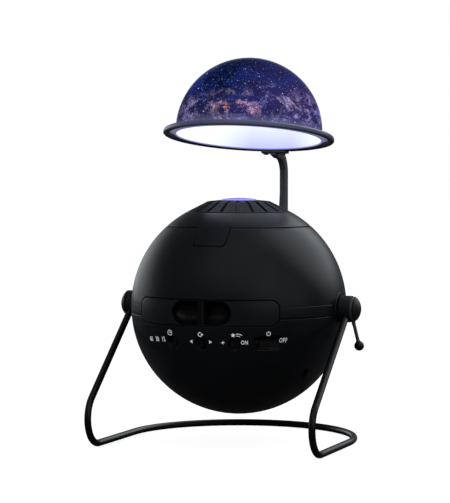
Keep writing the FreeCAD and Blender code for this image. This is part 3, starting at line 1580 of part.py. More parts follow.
def make_bracket():
    """The curved plate under the ring's back, and the two screws that hold it."""
    low = "-rim_drop - bracket_thickness"
    band = cut(
        "bracket_band",
        drum("bracket_outside", "rim_radius - 0.6", "bracket_thickness - fit_gap / 2", (0, 0, low)),
        drum("bracket_inside", "dome_radius + 0.5", 6, (0, 0, f"{low} - 2")),
    )
    window = block(
        "bracket_window",
        ("-bracket_half_width", "0", f"{low} - 1"),
        ("bracket_half_width", "rim_radius + 2", "0"),
    )
    screws, ways = [], []
    for side, word in ((1, "right"), (-1, "left")):
        at = (f"{side} * (bracket_half_width - 2.6)", RING_MIDDLE)
        screws.append(
            fuse(
                f"bracket_screw_{word}",
                drum(f"bracket_head_{word}", 1.7, 0.9, (*at, f"{low} - 0.9")),
                drum(f"bracket_shank_{word}", 0.75, 3.2, (*at, f"{low} - 0.1")),
            )
        )
        ways.append(drum(f"bracket_way_{word}", 0.85, 8, (*at, f"{low} - 3")))
    keep_on_dome(cut("arm_bracket", overlap("bracket_plate", band, window), *ways), "arm_bracket")
    group = doc.addObject("Part::Compound", "bracket_screws")
    group.Links = screws
    keep_on_dome(group, "bracket_screws")


def on_dome(y, z):
    """The place, from front to back and up, of a point drawn on the leaning dome."""
    return (
        f"dome_back + ({y}) * cos(dome_lean) + ({z}) * sin(dome_lean)",
        f"dome_rise - ({y}) * sin(dome_lean) + ({z}) * cos(dome_lean)",
    )


def make_arm():
    """The flat arm: upright behind the ball, bent forward under the ring in a thin tongue."""
    front, back = "arm_y - arm_depth / 2", "arm_y + arm_depth / 2"
    centre_y, centre_z = "(arm_y - arm_bend)", "(rim_z - bend_below)"
    outer, inner = "(arm_bend + arm_depth / 2)", "(arm_bend - arm_depth / 2)"
    under = "-rim_drop - bracket_thickness - fit_gap"
    outline = [
        (f"{front} - arm_swell", "-arm_foot"),
        (back, "-arm_foot"),
        (back, centre_z),
        (f"{centre_y} + {outer} * cos(80)", f"{centre_z} + {outer} * sin(80)", outer, 1),
        on_dome("rim_radius + fit_gap", "-rim_drop + 1.7"),
        on_dome("rim_radius + fit_gap", under),
        on_dome("dome_radius + 1", under),
        on_dome("dome_radius + 1", f"{under} - tongue"),
        (f"{centre_y} + {inner} * cos(98)", f"{centre_z} + {inner} * sin(98)"),
        (front, centre_z, inner, -1),
        (front, f"{centre_z} - swell_drop"),
        (f"{front} - arm_swell", f"{centre_z} - swell_drop - swell_length"),
    ]
    body = padded("dome_arm", "YZ_Plane", outline, "arm_width", "-arm_width / 2")
    keep(body, "dome_arm")


def make_arm_socket():
    """The lug behind the ball, with the rectangular socket into which the arm is pushed."""
    half, nose = "(arm_width / 2 + lug_wall)", "arm_y + arm_depth / 2 + lug_wall"
    outline = [
        (f"-{half} - 3", "ball_radius - 12"),
        (f"{half} + 3", "ball_radius - 12"),
        (f"{half} + 3", "ball_radius"),
        (half, "arm_y"),
        (half, f"{nose} - 2"),
        (f"{half} - 2", nose, 2, 1),
        (f"-{half} + 2", nose),
        (f"-{half}", f"{nose} - 2", 2, 1),
        (f"-{half}", "arm_y"),
        (f"-{half} - 3", "ball_radius"),
    ]
    lug = padded("lug_prism", "XY_Plane", outline, "lug_top + lug_bottom", "-lug_bottom")
    wide, deep = "(arm_width / 2 + slide_gap)", "(arm_depth / 2 + slide_gap)"
    socket = block(
        "arm_hole",
        (f"-{wide}", f"arm_y - {deep} - arm_swell", "-arm_foot"),
        (wide, f"arm_y + {deep}", "lug_top + 5"),
    )
    keep(cut("arm_socket", lug, globe("lug_limit", "ball_radius + 0.05"), socket), "arm_socket")


# ---------------------------------------------------------------------------------------------
# Build, check and write
# ---------------------------------------------------------------------------------------------


def build():
    fill_sheet()
    make_stand()
    for side, word in ((1, "right"), (-1, "left")):
        make_hub(side, word)
        make_pin(side, word)
        make_bearing(side, word)
    make_left_cap()
    make_lever()
    make_lower_shell()
    make_upper_shell()
    make_top_cover()
    make_case_screws()
    make_focus_ring()
    make_barrel()
    make_lens_mount()
    make_drawer_front()
    make_tray()
    make_turntable()
    make_motor()
    make_chassis()
    make_lamp()
    make_boards()
    for word, rest in (("timer", "switch_travel"), ("turn", "0"), ("star", "-switch_travel")):
        make_knob(word, "knob_width", rest)
    make_knob("power", "power_knob_width", "-power_travel / 2")
    make_inlet()
    make_dome()
    make_bracket()
    make_arm()
    make_arm_socket()
    doc.recompute()


def check():
    """Stop if any object failed, or if a sub-part's shape isn't sound."""
    for thing in doc.Objects:
        if "Invalid" in thing.State or "Error" in thing.State:
            raise RuntimeError(f"{thing.Label} failed: {thing.State}")
    for part in parts:
        if part.Shape.isNull() or not part.Shape.isValid() or part.Shape.Volume <= 0:
            raise RuntimeError(f"{part.Label} has no sound shape")


def write():
    os.makedirs("parts", exist_ok=True)
    for part in parts:
        part.Shape.exportStep(f"parts/{part.Label}.step")
        solids = len(part.Shape.Solids)
        print(f"{part.Label:18} {solids} solid(s) {part.Shape.Volume:10.1f} mm3")


build()
check()
write()
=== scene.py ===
"""The looks of a planetarium projector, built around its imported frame.

A dark ball hangs in a bent wire stand. A ribbed ring round the lens lies on top of the ball, and a
lit dome with a printed night sky stands over it on a thin bent arm. Lengths inside the shape
functions are millimetres about the ball's centre, x to the right, y to the back and z up.
"""

import math
from types import SimpleNamespace

import bmesh
import bpy
import numpy as np
from bpy.props import FloatProperty, FloatVectorProperty, IntProperty, PointerProperty
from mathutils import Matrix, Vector


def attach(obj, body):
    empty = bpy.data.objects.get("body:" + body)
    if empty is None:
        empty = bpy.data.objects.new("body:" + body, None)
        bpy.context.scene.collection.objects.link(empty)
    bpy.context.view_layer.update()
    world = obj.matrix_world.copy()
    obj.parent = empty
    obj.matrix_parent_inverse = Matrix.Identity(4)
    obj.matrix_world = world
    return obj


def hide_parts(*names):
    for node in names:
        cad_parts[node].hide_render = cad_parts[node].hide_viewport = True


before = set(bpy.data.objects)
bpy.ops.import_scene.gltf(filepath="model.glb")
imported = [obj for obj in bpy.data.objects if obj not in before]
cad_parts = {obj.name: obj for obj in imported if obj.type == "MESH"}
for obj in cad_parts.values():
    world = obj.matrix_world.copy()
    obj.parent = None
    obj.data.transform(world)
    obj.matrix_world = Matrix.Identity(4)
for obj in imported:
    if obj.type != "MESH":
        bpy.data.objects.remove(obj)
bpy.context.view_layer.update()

bl_info = {
    "name": "Planetarium projector",
    "version": (1, 0, 0),
    "blender": (4, 5, 0),
    "location": "View3D > Sidebar > Projector",
    "description": "Builds a ball-shaped planetarium projector with a lit dome",
    "category": "Object",
}

MM = 0.001  # a millimetre in metres
WELD = 2e-6  # corners nearer to each other than this become one, in metres
START, END = -135, 225  # where the grids of the casing's halves start and end, in degrees


# ---- Sizes and colours ----


def length(label, default, words):
    """A size in metres that a user can change."""
    return FloatProperty(name=label, description=words, default=default, unit="LENGTH", precision=5)


def angle(label, degrees, words):
    """An angle that a user can change."""
    default = math.radians(degrees)
    return FloatProperty(name=label, description=words, default=default, subtype="ANGLE")


def colour(label, default, words):
    """A colour that a user can change."""
    return FloatVectorProperty(
        name=label, description=words, default=default, subtype="COLOR", size=3, min=0, max=1
    )


class ProjectorSizes(bpy.types.PropertyGroup):
    """Sizes of the pieces that show."""

    centre: length("Centre height", 0.085, "Height of the ball's centre above the table")
    ball: length("Ball radius", 0.0675, "Outer radius of the ball")
    wall: length("Casing wall", 0.0025, "Wall of the casing")
    gap: length("Seam", 0.0004, "Width of the visible seams")
    seam: length("Seam depth", 0.0035, "Depth of the casing's seam below the centre")
    edge: length("Edge radius", 0.0003, "Radius of the moulded edges along the seams")
    cover: length("Cover radius", 0.0448, "Radius of the top cover's lower edge")
    tab_half: length("Tab half width", 0.01075, "Half the width of the notch for the cover's tab")
    tab_length: length("Tab length", 0.0108, "How far the tab reaches below the cover")
    tab_corner: length("Tab corner", 0.0025, "Radius of the tab's lower corners")
    ring: length("Focus ring radius", 0.032, "Outer radius of the focus ring")
    shoulder: length("Ring shoulder", 0.0194, "Radius where the focus ring's cone ends")
    slot: length("Grip slot", 0.002, "Width of a grip slot in the focus ring")
    slot_depth: length("Slot depth", 0.0013, "Depth of a grip slot")
    drawer_half: length("Drawer half width", 0.0446, "Half the width of the drawer's front")
    drawer_rise: length("Drawer rise", 0.0079, "Height of the drawer's top edge over the centre")
    drawer_drop: length("Drawer drop", 0.0074, "Depth of its lower edge below the centre")
    drawer_corner: length("Drawer corner", 0.005, "Radius of the drawer front's corners")
    grip_radius: length("Grip radius", 0.00725, "Radius of the finger hollows")
    grip_half: length("Grip half width", 0.0117, "Distance of the hollows' end centres")
    grip_rib: length("Grip rib", 0.0048, "Width of the rib between the finger hollows")
    switch_drop: length("Switch depth", 0.0185, "Depth of the switches below the centre")
    collar: length("Collar radius", 0.0102, "Radius of the bearing's outer flange")
    hub: length("Hub radius", 0.0082, "Radius of the hub")
    spread: length("Leg spread", 0.072, "Distance of each leg from the middle plane")
    rod: length("Wire radius", 0.00215, "Radius of the bent wire")
    bend: length("Front bend", 0.0165, "Radius of the bend at the front of each leg")
    rail_back: length("Rail back", 0.0012, "Where the straight rails end")
    dome: length("Dome radius", 0.0465, "Outer radius of the dome")
    dome_wall: length("Dome wall", 0.001, "Wall of the dome")
    dome_back: length("Dome back", 0.0183, "Distance of the dome's centre behind the middle")
    dome_rise: length("Dome rise", 0.1097, "Height of the dome's centre above the ball's centre")
    rim: length("Rim radius", 0.0542, "Outer radius of the dome's ring")
    arm_width: length("Arm width", 0.004, "Width of the arm, across")
    leg_slope: angle("Leg slope", 39.6, "Angle of the legs below the horizontal")
    dome_lean: angle("Dome lean", 9, "Angle by which the dome leans back")
    rib_count: IntProperty(
        name="Grip slots", description="Number of grip slots in the focus ring", default=20, min=4
    )


class ProjectorColours(bpy.types.PropertyGroup):
    """Colours of the finishes."""

    casing: colour("Casing", (0.0034, 0.0038, 0.0046), "Satin black plastic of the ball")
    drawer: colour("Drawer", (0.0056, 0.006, 0.007), "Smoother black of the drawer's front")
    # Painted shade: a deeper black than the casing for the insides of recesses and the ring's
    # underside, where shade falls.
    hollow: colour("Hollow", (0.0012, 0.0013, 0.0015), "Deep black of the finger hollows")
    stand: colour("Stand", (0.0018, 0.0018, 0.0022), "Gloss black of the wire")
    hub: colour("Hub", (0.005, 0.0052, 0.006), "Black plastic of the hubs")
    ring: colour("Focus ring", (0.0045, 0.0046, 0.0055), "Matt black of the focus ring")
    # Partly painted light: the ring's own blue-grey, made lighter for the glow of the dome on it.
    rim: colour("Dome ring", (0.055, 0.064, 0.125), "Blue-grey plastic round the dome")
    # Painted glow: the lilac light from inside the dome, given as emission to the ring's inner
    # side.
    skirt: colour("Lit skirt", (0.3, 0.29, 0.5), "Lilac light under the dome's ring")
    arm: colour("Arm", (0.042, 0.044, 0.048), "Black of the arm")
    night: colour("Night sky", (0.002, 0.006, 0.04), "Deep blue of the printed sky")
    dusk: colour("Purple sky", (0.03, 0.022, 0.105), "Purple of the printed sky")
    mist: colour("Mist", (0.6, 0.46, 0.8), "Pale lilac of the printed band of cloud")
    ember: colour("Ember", (1.0, 0.42, 0.26), "Warm spots in the band of cloud")
    glow: colour("Inner glow", (0.86, 0.9, 1.0), "Light on the inside of the dome")
    lens: colour("Lens glow", (0.27, 0.24, 0.95), "Violet light of the lens")
    mark: colour("Marks", (0.88, 0.89, 0.9), "Pale ink of the marks beside the switches")


def sizes():
    """The sizes in millimetres, and the angles in radians, as plain numbers."""
    group = bpy.context.scene.projector_sizes
    found = {}
    for name in ProjectorSizes.__annotations__:
        value = getattr(group, name)
        plain = name in ("leg_slope", "dome_lean", "rib_count")
        found[name] = value if plain else value / MM
    return SimpleNamespace(**found)


def tint(name):
    """A colour of the scene's settings, as RGBA."""
    return (*getattr(bpy.context.scene.projector_colours, name), 1.0)


# ---- Outlines ----


def stacked(*parts):
    """Coordinates side by side on the last axis; a plain number is the same for every point."""
    return np.stack(np.broadcast_arrays(*parts), -1)


def lifted(flat, height=0.0):
    """Flat points with a third coordinate."""
    return stacked(flat[..., 0], flat[..., 1], height)


def unit(vectors):
    """Vectors of length one."""
    return vectors / np.linalg.norm(vectors, axis=-1, keepdims=True)


def joined(*runs):
    """Runs of points, one after another."""
    return np.concatenate(runs, 0)


def closed(row):
    """A row of points that ends where it starts."""
    return joined(row, row[:1])


def pinched(point, row):
    """A row as long as the given one, with all its points in one place."""
    return np.broadcast_to(point, row.shape)


def filleted(corners, radii, steps):
    """An outline with round corners.

    A corner with half angle h between its two sides gets an arc of radius r. The arc's centre lies
    r / sin h from the corner along the bisector, and the arc starts and ends r / tan h from the
    corner along the sides. One more point on each side keeps the shading of the straight runs even.
    """
    corners = np.asarray(corners, float)
    radii = np.broadcast_to(radii, len(corners) - 2)[:, None]
    side = np.linalg.norm(np.diff(corners, axis=0), axis=-1, keepdims=True)
    middle = corners[1:-1]
    back, ahead = (corners[:-2] - middle) / side[:-1], (corners[2:] - middle) / side[1:]
    half = np.arccos(np.clip((back * ahead).sum(-1, keepdims=True), -1, 1)) / 2
    reach = radii / np.tan(half)
    centre = middle + unit(back + ahead) * (radii / np.sin(half))
    first, last = middle + back * reach - centre, middle + ahead * reach - centre
    sweep = (np.pi - 2 * half)[:, None]
    share = np.linspace(0, 1, steps + 1)[:, None]
    near, far = (np.sin(part * sweep) / np.sin(sweep) for part in (1 - share, share))
    arcs = centre[:, None] + near * first[:, None] + far * last[:, None]
    none = np.zeros((1, 1))
    spare = np.maximum(side - joined(none, reach) - joined(reach, none), 0) / 3
    lead = middle + back * (reach + np.minimum(0.8 * radii, spare[:-1]))
    tail = middle + ahead * (reach + np.minimum(0.8 * radii, spare[1:]))
    runs = np.concatenate([lead[:, None], arcs, tail[:, None]], 1)
    return joined(corners[:1], runs.reshape(-1, 2), corners[-1:])


def arc(centre, radius, start, end, steps):
    """Points centre + radius (cos a, sin a), for a from start to end in degrees."""
    turn = np.radians(np.linspace(start, end, steps + 1))
    return np.asarray(centre) + radius * stacked(np.cos(turn), np.sin(turn))


def line(start, end, steps):
    """Points spread evenly on a straight line."""
    return np.linspace(np.asarray(start, float), np.asarray(end, float), steps + 1)


def curve(start, pull, end, steps):
    """The curve (1-t)^2 start + 2t(1-t) pull + t^2 end, one row for each t from 0 to 1."""
    t = np.linspace(0, 1, steps + 1).reshape(-1, *[1] * np.ndim(start))
    return (1 - t) ** 2 * start + 2 * t * (1 - t) * pull + t**2 * end


def resampled(path, count):
    """Points at equal steps of length along a path."""
    step = np.linalg.norm(np.diff(path, axis=0), axis=-1)
    along = np.append(0, np.cumsum(step))
    wanted = np.linspace(0, along[-1], count + 1)
    return stacked(*(np.interp(wanted, along, values) for values in path.T))


def looped(corners, radius, counts):
    """A closed four-sided outline with round corners.

    It starts in the middle of the first corner's arc, and each side, from the middle of one corner
    to the middle of the next, has its own count of equal steps.
    """
    corners, steps = np.asarray(corners, float), 8
    seam = (corners[-1:] + corners[:1]) / 2
    ring = filleted(joined(seam, corners, seam), radius, steps)
    middles = [2 + k * (steps + 3) + steps // 2 for k in range(4)]
    sides = [ring[a : b + 1] for a, b in zip(middles, middles[1:])]
    sides.append(joined(ring[middles[-1] :], ring[1 : middles[0] + 1]))
    return closed(joined(*(resampled(side, count)[:-1] for side, count in zip(sides, counts))))


# ---- Surfaces ----


def turned(profile, around, axis=2):
    """A profile of (radius, height) turned about an axis.

    About z: (r sin a, -r cos a, h). About x: (h, r cos a, r sin a). The angle a goes once round.
    """
    profile = np.asarray(profile, float)
    turn = np.linspace(0, 2 * np.pi, around + 1)
    radius, height = profile[:, :1], profile[:, 1:]
    across, along = radius * np.sin(turn), radius * np.cos(turn)
    return stacked(across, -along, height) if axis == 2 else stacked(height, along, across)


def swept(path, aside, outline):
    """An outline (u, v) carried along a path: point + u side + v (tangent x side).

    side is the given direction aside, less its share along the tangent.
    """
    tangent = unit(np.gradient(path, axis=0))
    side = unit(aside - (aside * tangent).sum(-1, keepdims=True) * tangent)
    over = np.cross(tangent, side)
    u, v = outline[None, :, :1], outline[None, :, 1:]
    return path[:, None] + u * side[:, None] + v * over[:, None]


def strip(front, back, half, radius, steps=4):
    """A bar between a front and a back line, as thick as twice the vector half, with round edges.

    Each cross-section is a rectangle around the middle of front and back, whose corners are
    quarter arcs of the given radius. The two ends are closed at their middles.
    """
    front, back, half = (np.asarray(v, float) for v in (front, back, half))
    middle, reach = (front + back) / 2, (back - front) / 2
    depth = np.linalg.norm(reach, axis=-1)[:, None, None]
    ahead = reach[:, None] / depth
    wide = np.linalg.norm(half)
    turn = np.radians(np.linspace(0, 90, steps + 1))
    quarter = closed(joined(*(turn + k * np.pi / 2 for k in range(4))))[:, None]
    corner = closed(np.repeat([[1, 1], [-1, 1], [-1, -1], [1, -1]], steps + 1, axis=0))
    u = corner[:, :1] * (depth - radius) + radius * np.cos(quarter)
    v = corner[:, 1:] * (wide - radius) + radius * np.sin(quarter)
    ring = middle[:, None] + u * ahead + v * half / wide
    return joined(pinched(middle[0], ring[:1]), ring, pinched(middle[-1], ring[:1]))


def ball_point(longitude, level, radius):
    """The point of a ball at a longitude in degrees from the front and at a level.

    With q = sqrt(radius^2 - level^2) it is (q sin longitude, -q cos longitude, level).
    """
    turn = np.radians(longitude)
    flat = np.sqrt(np.maximum(radius**2 - level**2, 0))
    return stacked(flat * np.sin(turn), -flat * np.cos(turn), level)


def longitude_of(points, near):
    """The longitude of points, in degrees, on the same turn as the longitudes near them."""
    found = np.degrees(np.arctan2(points[..., 0], -points[..., 1]))
    return near + (found - near + 180) % 360 - 180


def keyed(longitude, level, start, end, radius):
    """A stretch of an edge as (keys, longitudes, levels).

    The keys go from start to end as the length along the stretch on a ball of the radius does.
    """
    longitude, level = np.asarray(longitude, float), np.asarray(level, float)
    flat = np.sqrt(np.maximum(radius**2 - level**2, 0))
    across = np.radians(np.diff(longitude)) * (flat[1:] + flat[:-1]) / 2
    along = np.append(0, np.cumsum(np.hypot(across, np.diff(level))))
    return start + (end - start) * along / along[-1], longitude, level


def edge_line(stretches, columns):
    """An edge of the casing, read at each column: longitudes and levels."""
    keys, longitude, level = (joined(*part) for part in zip(*stretches))
    return stacked(np.interp(columns, keys, longitude), np.interp(columns, keys, level))


def rolled(edge, radius, depth, roll, inwards):
    """The moulded edge along a line on the ball, as rows of points.

    edge is closed. With the normal n, the direction m along the surface into the material and the
    roll r, a row at angle a is point + r (1 - sin a) m - r (1 - cos a) n. Below the roll the wall
    goes straight towards the centre, to the given depth.
    """
    tangent = np.roll(edge[:-1], -1, 0) - np.roll(edge[:-1], 1, 0)
    normal = unit(edge)
    into = unit(np.cross(normal, closed(tangent)) * inwards)
    turn = np.radians(np.linspace(0, 90, 4))[:, None, None]
    roll_rows = edge + roll * (1 - np.sin(turn)) * into - roll * (1 - np.cos(turn)) * normal
    wall_rows = edge * (1 - np.array([roll * 2, depth])[:, None, None] / radius)
    return joined(roll_rows, wall_rows)


def band(lower, upper, shares):
    """Rows of (longitude, level) that go from one line to another in the given shares."""
    shares = np.asarray(shares, float)[:, None, None]
    return lower + shares * (upper - lower)


def recess(border, mouth, floor, radius, roll, soft):
    """A sunk place in the ball, as rows of points from its border to the middle of its floor.

    The rows run over the ball from the border to the mouth, round the mouth's edge, down the wall,
    round the floor's edge and over the floor. Each round edge is the curve of two sides.
    """
    middle = floor[:-1].mean(0)
    down, home = unit(floor - mouth), unit(middle - floor)
    start = mouth + unit(border - mouth) * roll
    outside = radius * unit(band(border, start, [0, 0.3, 0.6, 0.82, 0.94]))
    lip = curve(start, mouth, mouth + down * roll, 4)
    foot = curve(floor - down * soft, floor, floor + home * soft, 3)
    ground = band(foot[-1], pinched(middle, floor), [0.15, 0.6, 1])
    return joined(outside, lip, foot, ground)


def raised(half_wide, half_high, top, low, edge):
    """A pad over a rectangle, in its own (across, up, out): a top over a straight skirt, closed.

    top is a function of (across, up); near the border it falls by the round edge
    edge - sqrt(edge^2 - (edge - distance to the border)^2).
    """
    share = np.array([0, 1 / 3, 2 / 3, 1.6]) * edge
    wide = joined(share, line(edge * 2, half_wide, 11)[:-1]) - half_wide
    high = joined(share, line(edge * 2, half_high, 5)[:-1]) - half_high
    across, up = np.meshgrid(joined(wide, [0], -wide[::-1]), joined(high, [0], -high[::-1]))
    border = np.minimum(half_wide - np.abs(across), half_high - np.abs(up))
    inside = np.clip(edge - border, 0, edge)
    out = top(across, up) - (edge - np.sqrt(edge**2 - inside**2))
    lid = np.pad(stacked(across, up, out), ((1, 1), (1, 1), (0, 0)), mode="edge")
    lid[[0, -1], :, 2] = low
    lid[:, [0, -1], 2] = low
    base = lid.copy()
    base[..., 2] = low
    return [lid, base]


def placed(points, origin, across, up, out):
    """Points given as (across, up, out) of a place, put into the model."""
    return np.asarray(origin) + points @ np.array([across, up, out], float)


def on_dome(points, size):
    """Points drawn on an upright dome about its own centre, leant back and put in their place."""
    x, y, z = points[..., 0], points[..., 1], points[..., 2]
    c, s = math.cos(size.dome_lean), math.sin(size.dome_lean)
    return stacked(x, size.dome_back + y * c + z * s, size.dome_rise - y * s + z * c)


# ---- Meshes ----


def cells_of(rows, columns):
    """The four corner numbers of each cell in a grid of points."""
    index = np.arange(rows * columns).reshape(rows, columns)
    return stacked(index[:-1, :-1], index[:-1, 1:], index[1:, 1:], index[1:, :-1])


def piece(name, patches, body, coats, node=None, sharp=38):
    """One closed mesh from grids of points in millimetres.

    Each patch is a grid, or (grid, finish number, mask of the cells left out). The cells become
    faces, corners that lie together are welded, and the faces are turned outwards.
    """
    centre = bpy.context.scene.projector_sizes.centre
    points, faces, kinds, first = [], [], [], 0
    for patch in patches:
        grid, kind, hole = patch if isinstance(patch, tuple) else (patch, 0, None)
        cells = first + cells_of(*grid.shape[:2])
        cells = cells.reshape(-1, 4) if hole is None else cells[~hole]
        points.append(grid.reshape(-1, 3))
        faces.append(cells)
        kinds.append(np.full(len(cells), kind))
        first += len(points[-1])
    mesh = bpy.data.meshes.new(name)
    mesh.from_pydata(joined(*points) * MM + (0, 0, centre), [], joined(*faces).tolist())
    mesh.polygons.foreach_set("material_index", joined(*kinds).astype(np.int32))
    shape = bmesh.new()
    shape.from_mesh(mesh)
    bmesh.ops.remove_doubles(shape, verts=shape.verts, dist=WELD)
    bmesh.ops.dissolve_degenerate(shape, dist=WELD / 2, edges=shape.edges)
    bmesh.ops.recalc_face_normals(shape, faces=shape.faces)
    shape.to_mesh(mesh)
    shape.free()
    dressed(name, mesh, body, coats, node, sharp)


def dressed(name, mesh, body, coats, node=None, sharp=38):
    """An object for a finished mesh, with its finishes, its body and the node it stands for."""
    for coat in coats.split():
        mesh.materials.append(finish(coat))
    mesh.shade_smooth()
    mesh.set_sharp_from_angle(angle=math.radians(sharp))
    thing = bpy.data.objects.new(name, mesh)
    bpy.context.scene.collection.objects.link(thing)
    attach(thing, body)
    if node:
        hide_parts(node)


def paint(nodes, coat):
    """Give CAD nodes that stay visible a finish."""
    for name in nodes.split():
        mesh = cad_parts[name].data
        mesh.materials.clear()
        mesh.materials.append(finish(coat))


# ---- Finishes ----


class Nodes:
    """A tree of shader nodes being put together."""

    def __init__(self, tree):
        self.tree = tree

    def link(self, value, socket):
        """Set a socket to a constant, or join another socket to it."""
        if isinstance(value, bpy.types.NodeSocket):
            self.tree.links.new(value, socket)
        else:
            socket.default_value = value

    def node(self, kind, inputs=None, **settings):
        """Add a node. Inputs are values or sockets, by name or number."""
        made = self.tree.nodes.new("ShaderNode" + kind)
        for key, value in settings.items():
            setattr(made, key, value)
        for key, value in (inputs or {}).items():
            self.link(value, made.inputs[key])
        return made

    def math(self, operation, a, b=0.0):
        """A sum, a product or the like of two values."""
        return self.node("Math", {0: a, 1: b}, operation=operation).outputs[0]

    def product(self, *values):
        """The product of two or three values."""
        result = values[0]
        for value in values[1:]:
            result = self.math("MULTIPLY", result, value)
        return result

    def vector(self, operation, vector, by):
        """A sum, difference or product of vectors, a vector scaled, or a dot product."""
        other = "Scale" if operation == "SCALE" else 1
        made = self.node("VectorMath", {0: vector, other: by}, operation=operation)
        return made.outputs["Value" if operation == "DOT_PRODUCT" else 0]

    def axis(self, vector, number):
        """One coordinate of a vector."""
        return self.node("SeparateXYZ", {0: vector}).outputs[number]


class Finish(Nodes):
    """A node material being put together around one Principled surface."""

    def __init__(self, name, **sockets):
        self.material = bpy.data.materials.new(name)
        self.material.use_nodes = True
        super().__init__(self.material.node_tree)
        self.surface = self.tree.nodes["Principled BSDF"]
        self.feed(**sockets)
        self.place = self.node("TexCoord").outputs["Object"]

    def feed(self, **sockets):
        """Set or join sockets of the surface, named with _ for each space."""
        for key, value in sockets.items():
            self.link(value, self.surface.inputs[key.replace("_", " ")])

    def noise(self, scale, detail, roughness=0.5, vector=None, out=0):
        """One output of a noise texture: its grey value, or its colour."""
        place = self.place if vector is None else vector
        inputs = {"Vector": place, "Scale": scale, "Detail": detail, "Roughness": roughness}
        return self.node("TexNoise", inputs).outputs[out]

    def spread(self, value, low, high, to_low=0.0, to_high=1.0):
        """Map a value from one range to another, held at the ends."""
        inputs = {0: value, 1: low, 2: high, 3: to_low, 4: to_high}
        return self.node("MapRange", inputs, clamp=True).outputs[0]

    def mix(self, share, a, b, blend="MIX"):
        """Two colours mixed, with a share of the second."""
        settings = {"data_type": "RGBA", "blend_type": blend, "clamp_factor": True}
        return self.node("Mix", {0: share, 6: a, 7: b}, **settings).outputs[2]

    def about_dome(self, size):
        """The place in the unit ball about the dome's centre, upright to the dome."""
        inputs = {
            "Vector": self.place,
            "Location": (0.0, size.dome_back * MM, (size.centre + size.dome_rise) * MM),
            "Rotation": (-size.dome_lean, 0.0, 0.0),
            "Scale": (size.dome * MM,) * 3,
        }
        return self.node("Mapping", inputs, vector_type="TEXTURE").outputs[0]


def shaded(hue, factor):
    """A colour made lighter or darker."""
    return (*(value * factor for value in hue[:3]), 1)


def moulded(name, hue, roughness, grain=0.12, gloss=0.19, groove=None, **sockets):
    """Moulded plastic: a fine spark-eroded grain, faint cloudy wear in the gloss and the colour.

    groove is the height above the ball's centre of a fine line in the plastic's front half.
    """
    mat = Finish(name, Specular_IOR_Level=gloss, **sockets)
    cloud, wear = mat.noise(38, 4, 0.55), 0.05
    fine = mat.noise(1700, 2, 0.6)
    shade = mat.spread(cloud, 0.3, 0.7, 0.86, 1.16)
    grey = mat.node("CombineColor", {0: shade, 1: shade, 2: shade}).outputs[0]
    mat.feed(Base_Color=mat.mix(1.0, hue, grey, "MULTIPLY"))
    mat.feed(Roughness=mat.spread(cloud, 0.25, 0.75, roughness - wear, roughness + wear))
    bump = mat.node("Bump", {"Strength": grain, "Distance": 0.06 * MM, "Height": fine})
    if groove is not None:
        level = bpy.context.scene.projector_sizes.centre + groove * MM
        away = mat.math("ABSOLUTE", mat.math("SUBTRACT", mat.axis(mat.place, 2), level))
        cut = mat.spread(away, 0.06 * MM, 0.3 * MM)
        behind = mat.spread(mat.axis(mat.place, 1), -14.5 * MM, -13.5 * MM)
        cut = mat.math("MAXIMUM", cut, behind)
        inputs = {"Strength": 1.0, "Distance": 0.3 * MM, "Height": cut, "Normal": bump.outputs[0]}
        bump = mat.node("Bump", inputs)
    mat.feed(Normal=bump.outputs[0])
    return mat.material


def drawn_metal(name, hue, roughness, **sockets):
    """Metal, or paint on metal: nearly smooth, with a finely uneven gloss and faint clouds."""
    mat = Finish(name, **sockets)
    fine = mat.noise(900, 3, 0.6)
    cloud = mat.noise(60, 3, 0.5)
    mat.feed(Base_Color=mat.mix(mat.spread(cloud, 0.3, 0.7), hue, shaded(hue, 1.25)))
    mat.feed(Roughness=mat.spread(fine, 0.3, 0.7, roughness * 0.8, roughness * 1.25))
    bump = mat.node("Bump", {"Strength": 0.05, "Distance": 0.04 * MM, "Height": cloud})
    mat.feed(Normal=bump.outputs[0])
    return mat.material


